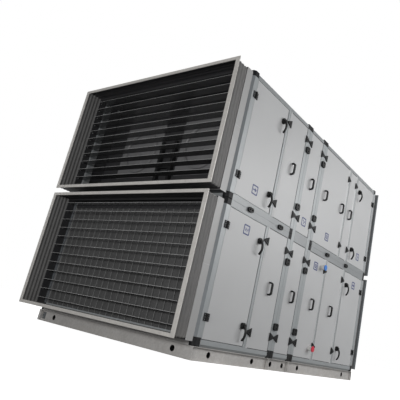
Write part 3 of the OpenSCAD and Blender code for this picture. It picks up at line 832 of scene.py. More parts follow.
def bevel_edges(work: bmesh.types.BMesh, width: float, segments: int) -> None:
    """Rounds the sharp edges of a mesh.

    Args:
        work: The mesh.
        width: Width of the round in millimetres.
        segments: Faces across it.
    """
    limit = math.radians(BEVEL_DEGREES)
    sharp = [e for e in work.edges if len(e.link_faces) == 2 and e.calc_face_angle(0.0) > limit]
    bmesh.ops.bevel(work, geom=sharp, offset=width * MM, offset_type="OFFSET", segments=segments, profile=0.5,
                    affect="EDGES", clamp_overlap=True)


def plain_mesh(work: bmesh.types.BMesh, name: str, materials: Iterable[Material]) -> Mesh:
    """Turns a mesh in the making into a plain one.

    Args:
        work: The mesh in the making, which is freed.
        name: Name of the plain mesh.
        materials: Materials in the order of the faces' indices.

    Returns:
        The plain mesh.
    """
    mesh = bpy.data.meshes.new(name)
    work.to_mesh(mesh)
    work.free()
    for material in materials:
        mesh.materials.append(material)
    return mesh


class Sketch:
    """A mesh in the making; points are in millimetres of the working frame."""

    # No tube runs along this way, so it gives every tube a side
    aside = Vector((0.31, 0.17, 0.93))

    def __init__(self, name: str) -> None:
        """Starts an empty mesh."""
        self.name = name
        self.work = bmesh.new()

    def vertex(self, x: float, y: float, z: float) -> bmesh.types.BMVert:
        """Adds a vertex."""
        return self.work.verts.new(UNIT.place(x, y, z))

    def face(self, corners: Vertices, finish: int = 0) -> None:
        """Adds a face."""
        self.work.faces.new(corners).material_index = finish

    def loop(self, outline: Sequence[Pair], plane: Plane, along: float) -> list[bmesh.types.BMVert]:
        """Adds the points of an outline.

        Args:
            outline: Points in the plane.
            plane: The plane.
            along: Place on the third axis.

        Returns:
            The vertices.
        """
        first, second, _ = plane.value
        vertices = []
        for a, b in outline:
            spot = [along] * 3
            spot[first], spot[second] = a, b
            vertices.append(self.vertex(*spot))
        return vertices

    def bridge(self, first: Vertices, second: Vertices, finish: int = 0) -> None:
        """Joins two closed loops of equal length with quads.

        Args:
            first: One loop.
            second: The other loop.
            finish: Material index.
        """
        count = len(first)
        for k in range(count):
            after = (k + 1) % count
            self.face([first[k], first[after], second[after], second[k]], finish)

    def prism(self, outline: Sequence[Pair], plane: Plane, start: float, end: float, finish: int = 0) -> None:
        """Adds an outline pulled to a solid.

        Args:
            outline: Points in the plane.
            plane: The plane.
            start: Where the solid starts on the third axis.
            end: Where it ends.
            finish: Material index.
        """
        low, high = self.loop(outline, plane, start), self.loop(outline, plane, end)
        self.bridge(low, high, finish)
        self.face(low, finish)
        self.face(high, finish)

    def box(self, low: Point, high: Point, finish: int = 0) -> None:
        """Adds a block from its low and its high corner."""
        self.prism(rectangle((low[0], low[2]), (high[0], high[2])), Plane.XZ, low[1], high[1], finish)

    def ring(self, outer: Sequence[Pair], inner: Sequence[Pair], plane: Plane, span: Pair,
             finish: int = 0) -> None:
        """Adds a flat ring between two outlines of equal length.

        Args:
            outer: Points of the outer outline.
            inner: Points of the inner outline.
            plane: The plane.
            span: Where the ring starts and ends on the third axis.
            finish: Material index.
        """
        loops = [self.loop(outline, plane, along) for along in span for outline in (outer, inner)]
        outer_a, inner_a, outer_b, inner_b = loops
        self.bridge(outer_a, outer_b, finish)
        self.bridge(inner_a, inner_b, finish)
        self.bridge(outer_a, inner_a, finish)
        self.bridge(outer_b, inner_b, finish)

    def lathe(self, profile: Sequence[Pair], centre: Point, plane: Plane, steps: int,
              closed: bool = True) -> None:
        """Adds a turned shape.

        Args:
            profile: Radius and place along the axis of each point.
            centre: Point on the axis that the places start from.
            plane: Plane that the circles lie in.
            steps: Faces round the axis.
            closed: Whether the last point joins the first.
        """
        first, second, third = plane.value
        middle, base = (centre[first], centre[second]), centre[third]
        loops = [self.loop(circle(middle, radius, steps), plane, base + along) for radius, along in profile]
        for near, far in zip(loops, loops[1:] + loops[:1] if closed else loops[1:]):
            self.bridge(near, far)
        if not closed:
            self.face(loops[0])
            self.face(loops[-1])

    def tube(self, path: Sequence[Point], radius: float, sides: int, finish: int = 0) -> None:
        """Adds a round bar along a path.

        Args:
            path: Points of its middle line.
            radius: Its radius.
            sides: Faces round it.
            finish: Material index.
        """
        points = [Vector(p) for p in path]
        loops = []
        for k, point in enumerate(points):
            ahead = (points[min(k + 1, len(points) - 1)] - points[max(k - 1, 0)]).normalized()
            side = ahead.cross(self.aside).normalized()
            up = side.cross(ahead)
            spots = [point + side * radius * math.cos(t) + up * radius * math.sin(t) for t in turns(sides)]
            loops.append([self.vertex(*spot) for spot in spots])
        for near, far in zip(loops, loops[1:]):
            self.bridge(near, far, finish)
        self.face(loops[0], finish)
        self.face(loops[-1], finish)

    def piece(self, materials: Sequence[Material], body: str = "casing", slot: Optional[str] = None,
              stands_for: Iterable[str] = ()) -> SceneObject:
        """Turns the sketch into a piece.

        Args:
            materials: Materials in the order of the faces' indices.
            body: Body that the piece moves with.
            slot: Not used.
            stands_for: Nodes that it takes the place of.

        Returns:
            The piece.
        """
        bmesh.ops.recalc_face_normals(self.work, faces=self.work.faces)
        mesh = plain_mesh(self.work, self.name, materials)
        shade_by_angle(mesh)
        return put_on_body(link(self.name, mesh), body, stands_for)


RegionFinish = tuple[Region, str]


@dataclass(frozen=True)
class SoftenedNode:
    """A node shown with its edges rounded and its finish on."""

    node: str
    slot: str
    width: float
    segments: int = 2
    finish: str = ""
    regions: tuple[RegionFinish, ...] = ()

    facing: ClassVar[float] = 0.9
    downward: ClassVar[float] = -0.1
    probe: ClassVar[float] = 0.015
    foot_slack: ClassVar[float] = 5.0
    weld: ClassVar[float] = 2e-6
    flat_degrees: ClassVar[float] = 0.5
    diagonal: ClassVar[list[float]] = [0.0, 0.71, 0.71]

    def _in_region(self, face: bmesh.types.BMFace, region: Region) -> bool:
        """Tells whether a face lies in a region.

        Args:
            face: The face.
            region: The region.

        Returns:
            True if it does.
        """
        middle, normal = face.calc_center_median(), face.normal
        inside = UNIT.looks_inside(middle + normal * self.probe)
        at_foot = middle.z / MM < UNIT.foot(0) + UNIT.profile + self.foot_slack
        to_front = normal.x < -self.facing
        on_flat = sorted(round(abs(part), 2) for part in normal) == self.diagonal
        return {
            Region.INSIDE: inside,
            Region.FLOOR: inside and normal.z > self.facing,
            Region.FRONT: to_front,
            Region.UNDER: normal.z < -self.facing,
            Region.FOOT: at_foot,
            Region.FRONT_FOOT: at_foot and to_front,
            Region.REAR: middle.x / MM - UNIT.x_shift > UNIT.length,
            Region.FLATS: on_flat and normal.z > self.downward,
        }[region]

    def build(self, palette: Palette) -> SceneObject:
        """Copies the node's mesh, joins its triangles and rounds its sharp edges.

        The faces of each region get its finish; where regions overlap the last one counts.

        Args:
            palette: The finishes.

        Returns:
            The piece that stands for the node.
        """
        source = frame["nodes"][self.node]
        work = bmesh.new()
        work.from_mesh(source.data)
        bmesh.ops.remove_doubles(work, verts=work.verts, dist=self.weld)
        limit = math.radians(self.flat_degrees)
        bmesh.ops.dissolve_limit(work, angle_limit=limit, verts=work.verts, edges=work.edges)
        corners = [Vector(corner) for corner in source.bound_box]
        bevel_edges(work, self.width, self.segments)
        for vertex in work.verts:
            for axis in range(3):
                vertex.co[axis] = min(max(vertex.co[axis], corners[0][axis]), corners[6][axis])
        for index, (region, _) in enumerate(self.regions, 1):
            for face in work.faces:
                if self._in_region(face, region):
                    face.material_index = index
        name = f"{self.node}_dressed"
        finishes = (self.finish or self.slot, *(finish for _, finish in self.regions))
        mesh = plain_mesh(work, name, palette.pick(*finishes))
        weigh_normals(mesh)
        return put_on_body(link(name, mesh), source["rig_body"], [self.node])


def alike(names: Sequence[str], *shared: object, **options: object) -> list[SoftenedNode]:
    """Several nodes with the same slot, rounds and finishes."""
    return [SoftenedNode(name, *shared, **options) for name in names]


# Region finishes below paint shade: near black on inner faces and undersides.
SHADE_BLACK_INSIDE: RegionFinish = (Region.INSIDE, "shade_black_coat")
# Darker alloy on inner faces of posts and rails: painted shade.
SHADE_ALLOY_INSIDE: RegionFinish = (Region.INSIDE, "dark_alloy_and_shade")
# Darker alloy on the diagonal flats: painted shade.
SHADED_FLATS: RegionFinish = (Region.FLATS, "shaded_alloy_flats")
# Pale blade fronts: painted highlight.
LIT_LIP: RegionFinish = (Region.FRONT, "lit_blade_lip")

SOFTENED: tuple[SoftenedNode, ...] = (
    *alike(("base_side_rails", "base_cross_rails"), "galvanised", 1.2, 1),
    SoftenedNode("lower_posts", "alloy", 1.5, regions=(SHADED_FLATS, SHADE_ALLOY_INSIDE)),
    SoftenedNode("upper_posts", "alloy", 1.5, regions=(SHADED_FLATS, (Region.INSIDE, "shaded_alloy_rails"))),
    # The rails get the darker alloy as painted shade; their foot faces get the posts' lighter alloy and,
    # facing front, the base's zinc: painted light on the shaded foot rail.
    SoftenedNode("lower_rails", "alloy", 1.5, finish="shaded_alloy_rails",
                 regions=((Region.FOOT, "alloy"), (Region.FRONT_FOOT, "galvanised"))),
    SoftenedNode("upper_rails", "alloy", 1.5, finish="shaded_alloy_rails", regions=(SHADED_FLATS, SHADE_ALLOY_INSIDE)),
    *alike(("lower_corner_blocks", "upper_corner_blocks"), "corner_plastic", 6.0, 3),
    *alike(("lower_front_door", "lower_rear_door", "upper_front_door", "upper_rear_door"), "door_paint", 2.5),
    *alike(("lower_access_panels", "upper_access_panels"), "panel_paint", 2.0),
    *alike(("lower_back_panels", "upper_back_panels", "lower_floor", "deck_panels", "roof_panels"),
           "panel_paint", 2.0, regions=(SHADE_BLACK_INSIDE,)),
    # Inner faces and undersides get painted shade, upward inner floors painted light.
    SoftenedNode("damper_casings", "casing_paint", 2.0,
                 regions=(SHADE_BLACK_INSIDE, (Region.UNDER, "shade_black_coat"), (Region.FLOOR, "lit_sleeve_floor"))),
    # The rear flanges get the darker alloy: painted shade behind the casing.
    SoftenedNode("duct_flanges", "flange_steel", 1.2, 1, regions=((Region.REAR, "shaded_alloy_flats"),)),
    SoftenedNode("lower_damper_blades", "blade_alloy", 0.8, 1, "polished_blades", (LIT_LIP,)),
    # The upper blades are near black: painted shade in the upper mouth.
    SoftenedNode("upper_damper_blades", "blade_alloy", 0.8, 1, regions=(LIT_LIP,)),
    SoftenedNode("rear_damper_blades", "blade_alloy", 0.8, 1, "shaded_alloy_rails"),
    SoftenedNode("filter_frame", "filter_steel", 1.0, 1),
    SoftenedNode("lower_partition", "panel_paint", 2.0, regions=(SHADE_BLACK_INSIDE,)),
    # The fan wall is near black: painted shade inside the casing.
    SoftenedNode("fan_wall", "panel_paint", 2.0, finish="shade_black_coat"),
    SoftenedNode("fan_inlets", "fan_steel", 2.0),
    *alike(("lower_hinge_seats", "front_door_fittings", "rear_door_fittings", "upper_door_fittings"),
           "hardware_plastic", 1.2),
    *alike(("front_lever_low", "front_lever_high", "rear_lever_low", "rear_lever_high"),
           "hardware_plastic", 3.0, 3),
    SoftenedNode("panel_handles", "hardware_plastic", 4.0, 3),
    SoftenedNode("panel_clamps", "hardware_plastic", 2.5, 3),
    SoftenedNode("frame_connectors", "hardware_plastic", 3.0, 3),
    SoftenedNode("water_stubs", "pipe_metal", 1.5),
    SoftenedNode("blue_cap", "blue_plastic", 3.0, 3),
    SoftenedNode("red_cap", "red_plastic", 3.0, 3),
)


def start_geometry(name: str, inputs: dict[str, SocketKind]) -> TreeParts:
    """Starts a geometry tree that takes and gives a Geometry, with its other inputs."""
    sockets = [(label, kind, None) for label, kind in {"Geometry": SocketKind.GEOMETRY, **inputs}.items()]
    return start_tree(name, "GeometryNodeTree", sockets, [("Geometry", SocketKind.GEOMETRY)])


def end_geometry(board: NodeBoard, instances: Socket, start: Node, end: Node) -> None:
    """Makes instances real, gives them their finish and hands them to the output.

    Args:
        board: The tree's board.
        instances: The instances.
        start: The input node, which has a Finish.
        end: The output node.
    """
    real = board.fill(board.add("GeometryNodeRealizeInstances"), {"Geometry": instances})
    coat = board.add("GeometryNodeSetMaterial")
    board.fill(coat, {"Geometry": real.outputs[0], "Material": start.outputs["Finish"]})
    board.feed(end.inputs[0], coat.outputs[0])


def plain_from_tree(name: str, mesh: Mesh, tree: NodeTree, values: dict[str, object],
                    body: str) -> SceneObject:
    """Runs a geometry tree on a mesh and keeps the result as a plain mesh.

    Args:
        name: Name of the piece.
        mesh: Mesh that the tree starts from.
        tree: The node tree.
        values: Value of each named input.
        body: Body that the piece moves with.

    Returns:
        The piece.
    """
    carrier = link(f"{name}_carrier", mesh)
    modifier = carrier.modifiers.new("tree", "NODES")
    modifier.node_group = tree
    for item in tree.interface.items_tree:
        if item.item_type == "SOCKET" and item.in_out == "INPUT" and item.name in values:
            modifier[item.identifier] = values[item.name]
    evaluated = carrier.evaluated_get(bpy.context.evaluated_depsgraph_get())
    plain = bpy.data.meshes.new_from_object(evaluated)
    plain.name = name
    carrier.modifiers.remove(modifier)
    bpy.data.objects.remove(carrier)
    shade_by_angle(plain)
    return put_on_body(link(name, plain), body)


@dataclass
class FastenerField:
    """Screw heads of one kind, set on points by a node tree."""

    name: str
    radius: float
    height: float
    sides: int
    seed: int = 3
    points: list[tuple[Point, Point]] = field(default_factory=list)

    head_rise: ClassVar[float] = 0.75
    washer_sides: ClassVar[int] = 14
    washer_width: ClassVar[float] = 1.45
    washer_height: ClassVar[float] = 0.5
    widest_turn: ClassVar[float] = 6.283
    # Sockets of a random float: its upper end and its result
    random_max: ClassVar[int] = 3
    random_value: ClassVar[int] = 1

    def add(self, place: Point, facing: Point) -> None:
        """Adds a screw at a point of the working frame that looks along facing."""
        self.points.append((place, facing))

    def row(self, start: Point, end: Point, count: int, facing: Point) -> None:
        """Adds a row of screws.

        Args:
            start: First screw.
            end: Last screw.
            count: Number of screws.
            facing: Way that the heads look.
        """
        for k in range(count):
            share = k / (count - 1)
            self.add(tuple(a + (b - a) * share for a, b in zip(start, end)), facing)

    def _head(self, board: NodeBoard, start: Node) -> Socket:
        """Adds a screw head on its washer.

        Args:
            board: The tree's board.
            start: The tree's input node.

        Returns:
            The socket of the joined geometry.
        """
        radius, height = start.outputs["Head Radius"], start.outputs["Head Height"]
        head = board.add("GeometryNodeMeshCylinder")
        board.fill(head, {"Vertices": start.outputs["Head Sides"], "Radius": radius, "Depth": height})
        rise = board.vector({"Z": board.math("MULTIPLY", height, self.head_rise)})
        lift = board.add("GeometryNodeTransform")
        board.fill(lift, {"Geometry": head.outputs["Mesh"], "Translation": rise})
        washer = board.fill(board.add("GeometryNodeMeshCylinder"), {
            "Vertices": self.washer_sides,
            "Radius": board.math("MULTIPLY", radius, self.washer_width),
            "Depth": board.math("MULTIPLY", height, self.washer_height)})
        both = board.add("GeometryNodeJoinGeometry")
        for part in (lift.outputs[0], washer.outputs["Mesh"]):
            board.feed(both.inputs[0], part)
        return both.outputs[0]

    def _tree(self) -> NodeTree:
        """Node tree that sets a screw head with its washer on every point.

        Returns:
            The tree, made once.
        """
        found = bpy.data.node_groups.get("screw_heads")
        if found is not None:
            return found
        tree, board, start, end = start_geometry("screw_heads", {
            "Head Radius": SocketKind.FLOAT, "Head Height": SocketKind.FLOAT,
            "Head Sides": SocketKind.INTEGER, "Turn Seed": SocketKind.INTEGER, "Finish": SocketKind.MATERIAL})
        facing = board.add("GeometryNodeInputNamedAttribute", data_type="FLOAT_VECTOR")
        facing.inputs["Name"].default_value = "facing"
        aim = board.add("FunctionNodeAlignRotationToVector", axis="Z")
        board.feed(aim.inputs["Vector"], facing.outputs["Attribute"])
        spin = board.add("FunctionNodeRandomValue", data_type="FLOAT")
        spin.inputs[self.random_max].default_value = self.widest_turn
        board.feed(spin.inputs["Seed"], start.outputs["Turn Seed"])
        turn = board.add("FunctionNodeAxisAngleToRotation")
        board.fill(turn, {"Axis": TO_ROOF, "Angle": spin.outputs[self.random_value]})
        rotate = board.add("FunctionNodeRotateRotation", rotation_space="LOCAL")
        board.feed(rotate.inputs[0], aim.outputs[0])
        board.feed(rotate.inputs[1], turn.outputs[0])
        spread = board.fill(board.add("GeometryNodeInstanceOnPoints"), {
            "Points": start.outputs["Geometry"],
            "Instance": self._head(board, start),
            "Rotation": rotate.outputs[0]})
        end_geometry(board, spread.outputs[0], start, end)
        return tree

    def build(self, material: Material, body: str = "casing", slot: Optional[str] = None) -> None:
        """Makes the screws a plain mesh on a body.

        Args:
            material: Their finish.
            body: Body that they move with.
            slot: Not used.
        """
        mesh = bpy.data.meshes.new(f"{self.name}_points")
        mesh.from_pydata([UNIT.place(*place) for place, _ in self.points], [], [])
        facing = mesh.attributes.new("facing", "FLOAT_VECTOR", "POINT")
        facing.data.foreach_set("vector", [part for _, way in self.points for part in way])
        values = {"Head Radius": self.radius * MM, "Head Height": self.height * MM, "Head Sides": self.sides,
                  "Turn Seed": self.seed, "Finish": material}
        plain_from_tree(self.name, mesh, self._tree(), values, body)


@dataclass
class DuctSleeves:
    """Ridged sleeves between the damper casings and the mouth flanges."""

    front_ridges: int = 4
    rear_ridges: int = 2
    ridge_steps: int = 12
    crest_inset: float = 2.0
    ridge_depth: float = 3.0
    inner_depth: float = 4.0
    wall: float = 3.0
    corner: float = 24.0
    corner_steps: int = 8
    level: float = 0.6

    def _outline(self, tier: int, inset: float) -> list[Pair]:
        """Outline of the sleeve in the YZ plane.

        Args:
            tier: Its tier.
            inset: How far it lies inside the damper casing's outside.

        Returns:
            The points.
        """
        low = (UNIT.casing_side, UNIT.foot(tier) + UNIT.casing_low)
        high = (UNIT.width - UNIT.casing_side, UNIT.head(tier) - UNIT.casing_high)
        return rounded(*shrunk(low, high, inset), self.corner, self.corner_steps)

    def _wrap(self, sketch: Sketch, tier: int, span: Pair, ridges: int) -> None:
        """Adds one sleeve.

        Args:
            sketch: Mesh that it goes to.
            tier: Its tier.
            span: Its ends along x.
            ridges: Number of ridges.
        """
        steps = ridges * self.ridge_steps
        loops: list[list[bmesh.types.BMVert]] = []
        for side, depth in ((0.0, self.ridge_depth), (self.wall, self.inner_depth)):
            run = []
            for k in range(steps + 1):
                wave = 0.5 + 0.5 * math.cos(2.0 * math.pi * ridges * k / steps)
                sharper = wave * wave * (3.0 - 2.0 * wave)
                inset = self.crest_inset + depth * sharper + side
                x = span[0] + (span[1] - span[0]) * k / steps
                run.append(sketch.loop(self._outline(tier, inset), Plane.YZ, x))
            loops.extend(run if side == 0.0 else reversed(run))
        for first, second in zip(loops, loops[1:] + loops[:1]):
            sketch.bridge(first, second)

    def build(self, palette: Palette) -> None:
        """Makes the four sleeves one piece, with painted light on faces that look up and painted shade on
        faces that look down.

        Args:
            palette: The finishes.
        """
        sketch = Sketch("ridged_sleeves")
        for tier in TIERS:
            self._wrap(sketch, tier, UNIT.front_sleeve, self.front_ridges)
            self._wrap(sketch, tier, UNIT.rear_sleeve, self.rear_ridges)
        bmesh.ops.recalc_face_normals(sketch.work, faces=sketch.work.faces)
        # Faces that look up get painted light, faces that look down painted shade.
        for face in sketch.work.faces:
            if abs(face.normal.z) > self.level:
                face.material_index = 1 if face.normal.z > 0.0 else 2
        finishes = palette.pick("sleeve_fabric", "lit_sleeve_floor", "shade_black_coat")
        sketch.piece(finishes, slot="sleeve_fabric", stands_for=["duct_sleeves"])


@dataclass
class FilterBank:
    """Cloth bags of the filter behind its frame, the seal over its head, near black as painted shade, and the
    sill at its foot.
    """

    start_x: float = 21.0
    depth: float = 284.0
    border: float = 22.0
    head_gap: float = 36.0
    side_gap: float = 0.5
    clearance: float = 1.0
    pockets: int = 23
    rim_gap: float = 8.0
    tip: float = 12.0
    tip_reach: float = 1.0
    cloth_gap: float = 0.6
    belly: float = 3.0
    front_swell: float = 3.0
    tip_swell: float = 2.0
    steps: int = 8
    rows: int = 24
    seal_span: Pair = (4.0, 9.6)
    seal_side: float = 3.5
    seal_low: float = 2.5
    seal_high: float = 10.0
    seal_radius: float = 6.0
    sill_span: Pair = (8.2, 9.7)
    sill_side: float = 2.0
    sill_low: float = 1.0
    sill_high: float = 2.0

    @property
    def first_y(self) -> float:
        """Where the first pocket starts along y."""
        return UNIT.profile + self.side_gap + self.border

    @property
    def pitch(self) -> float:
        """Distance from one pocket to the next."""
        return (UNIT.width - 2.0 * self.first_y) / self.pockets

    @property
    def heights(self) -> Pair:
        """Foot and head of the bags."""
        low, high = UNIT.opening(0)
        return low + self.border + self.clearance, high - self.head_gap - self.border - self.clearance

    def _bag_line(self, middle: float, rim: float) -> list[Pair]:
        """Outline of one bag seen from above: flat front, bellied sides, narrow tip.

        Args:
            middle: Its middle along y.
            rim: Half its width at the front.

        Returns:
            The points, all the way round.
        """
        x = self.start_x + self.cloth_gap
        front = [(x, middle + rim * (2.0 * k / self.steps - 1.0)) for k in range(self.steps + 1)]
        sides: list[list[Pair]] = []
        for side in (1.0, -1.0):
            run = []
            for j in range(1, self.steps + 1):
                share = j / self.steps
                half = rim + (self.tip / 2.0 - rim) * share + self.belly * math.sin(math.pi * share)
                run.append((x + self.depth * share, middle + side * half))
            sides.append(run)
        return [*front, *sides[0], *reversed(sides[1])]

    def _swell(self, line: Sequence[Pair]) -> list[float]:
        """How far each point of a bag's outline moves along x at half height.

        Args:
            line: The outline, its front first.

        Returns:
            The move of each point.
        """
        tip_x = self.start_x + self.depth - self.tip_reach
        front = [-self.front_swell * math.sin(math.pi * k / self.steps) for k in range(self.steps + 1)]
        return [*front, *(self.tip_swell if x > tip_x else 0.0 for x, _ in line[len(front):])]

    def _bags(self, palette: Palette) -> None:
        """Makes the cloth bags, one to each pocket.

        Args:
            palette: The finishes.
        """
        z0, z1 = self.heights
        sketch = Sketch("filter_bags")
        for k in range(self.pockets):
            line = self._bag_line(self.first_y + (k + 0.5) * self.pitch, (self.pitch - self.rim_gap) / 2.0)
            shifts = self._swell(line)
            rings = []
            for j in range(self.rows + 1):
                swell, z = math.sin(math.pi * j / self.rows), z0 + (z1 - z0) * j / self.rows
                rings.append([sketch.vertex(x + swell * shift, y, z) for (x, y), shift in zip(line, shifts)])
            for first, second in zip(rings, rings[1:]):
                sketch.bridge(first, second)
        piece = sketch.piece(palette.pick("filter_cloth"), slot="filter_cloth", stands_for=["filter_pockets"])

    def build(self, palette: Palette) -> None:
        """Makes the bags, the seal and the sill.

        Args:
            palette: The finishes.
        """
        self._bags(palette)
        z0, z1 = self.heights
        seal = Sketch("filter_head_seal")
        for k in range(self.pockets):
            left = self.first_y + k * self.pitch
            low = (left + self.seal_side, z1 + self.seal_low)
            high = (left + self.pitch - self.seal_side, z1 + self.border + self.seal_high)
            seal.prism(rounded(low, high, self.seal_radius), Plane.YZ, *self.seal_span)
        # The seal is near black: painted shade along the filter's head.
        seal.piece(palette.pick("shade_black_coat"))
        sill = Sketch("filter_sill")
        near, far = UNIT.across(self.first_y - self.border + self.sill_side)
        foot = UNIT.opening(0)[0] + self.sill_low
        sill.box((self.sill_span[0], near, foot), (self.sill_span[1], far, z0 - self.sill_high))
        sill.piece(palette.pick("alloy"), slot="alloy")


@dataclass
class WaterCoil:
    """Fin pack of the water coil with its end plates and return bends."""

    depth: float = 160.0
    side_gap: float = 0.5
    bend_room: float = 70.0
    fin_pitch: float = 12.0
    fin: float = 3.0
    fin_start: float = 8.0
    fin_depth_gap: float = 6.0
    fin_height_gap: float = 60.0
    plate: float = 4.0
    rim: float = 8.0
    rim_gap: float = 3.0
    rim_height: float = 28.0
    bends: int = 12
    bend_foot: float = 70.0
    bend_pitch: float = 80.0
    bend_places: Pair = (90.0, 50.0)
    bend_straight: float = 8.0
    bend_reach: float = 22.0
    bend_radius: float = 20.0
    bend_steps: int = 8
    pipe_radius: float = 7.0
    pipe_sides: int = 8

    @staticmethod
    def _tree() -> NodeTree:
        """Node tree that stands fins in a row.

        Returns:
            The tree.
        """
        tree, board, start, end = start_geometry("fin_row", {
            "Fin Count": SocketKind.INTEGER, "Fin Pitch": SocketKind.FLOAT, "Fin Thickness": SocketKind.FLOAT,
            "Fin Depth": SocketKind.FLOAT, "Fin Height": SocketKind.FLOAT, "Start": SocketKind.VECTOR,
            "Finish": SocketKind.MATERIAL})
        labels = zip("XYZ", ("Fin Depth", "Fin Thickness", "Fin Height"))
        size = board.vector({axis: start.outputs[label] for axis, label in labels})
        fin = board.fill(board.add("GeometryNodeMeshCube"), {"Size": size})
        line = board.fill(board.add("GeometryNodeMeshLine"), {
            "Count": start.outputs["Fin Count"],
            "Start Location": start.outputs["Start"],
            "Offset": board.vector({"Y": start.outputs["Fin Pitch"]})})
        spread = board.add("GeometryNodeInstanceOnPoints")
        board.fill(spread, {"Points": line.outputs[0], "Instance": fin.outputs["Mesh"]})
        end_geometry(board, spread.outputs[0], start, end)
        return tree

    def _bend(self, x: float, end: float, z: float, way: float) -> list[Point]:
        """Middle line of a return bend.

        Args:
            x: Its place along x.
            end: The end plate's place along y.
            z: Height of its lower leg.
            way: Side of the plate that it stands on.

        Returns:
            The points from the lower leg to the upper one.
        """
        bend = []
        for k in range(self.bend_steps + 1):
            turn = math.pi * k / self.bend_steps
            out = self.bend_straight + self.bend_reach * math.sin(turn)
            bend.append((x, end + way * out, z + self.bend_radius - self.bend_radius * math.cos(turn)))
        return [(x, end, z), *bend, (x, end, z + 2.0 * self.bend_radius)]

    def build(self, palette: Palette) -> None:
        """Makes the fins, then the casing plates with the return bends.

        Args:
            palette: The finishes.
        """
        x0, x1 = UNIT.coil_post - self.depth, UNIT.coil_post
        z0, z1 = UNIT.opening(0)
        near, far = UNIT.across(UNIT.panel_back + self.side_gap + self.bend_room)
        first, last = near + self.fin_start, far - self.fin_start
        values = {
            "Fin Count": int((last - first) / self.fin_pitch) + 1,
            "Fin Pitch": self.fin_pitch * MM,
            "Fin Thickness": self.fin * MM,
            "Fin Depth": (self.depth - self.fin_depth_gap) * MM,
            "Fin Height": (z1 - z0 - self.fin_height_gap) * MM,
            "Start": UNIT.place((x0 + x1) / 2.0, first, (z0 + z1) / 2.0),
            "Finish": palette.get("coil_fins"),
        }
        points = bpy.data.meshes.new("coil_start")
        plain_from_tree("coil_fin_pack", points, self._tree(), values, "casing")
        sketch = Sketch("coil_casing")
        for y in (near, far):
            sketch.box((x0, y - self.plate / 2.0, z0), (x1, y + self.plate / 2.0, z1))
        low, high = (x0, near + self.rim_gap), (x1, far - self.rim_gap)
        for z in (z0, z1 - self.rim_height):
            inner = rectangle(*shrunk(low, high, self.rim))
            sketch.ring(rectangle(low, high), inner, Plane.XY, (z, z + self.rim_height))
        for end, way in ((near, -1.0), (far, 1.0)):
            for row in range(self.bends):
                x, z = x0 + self.bend_places[row % 2], z0 + self.bend_foot + row * self.bend_pitch
                sketch.tube(self._bend(x, end, z, way), self.pipe_radius, self.pipe_sides, 1)
        sketch.piece(palette.pick("filter_steel", "pipe_metal"), slot="coil_fins", stands_for=["water_coil"])


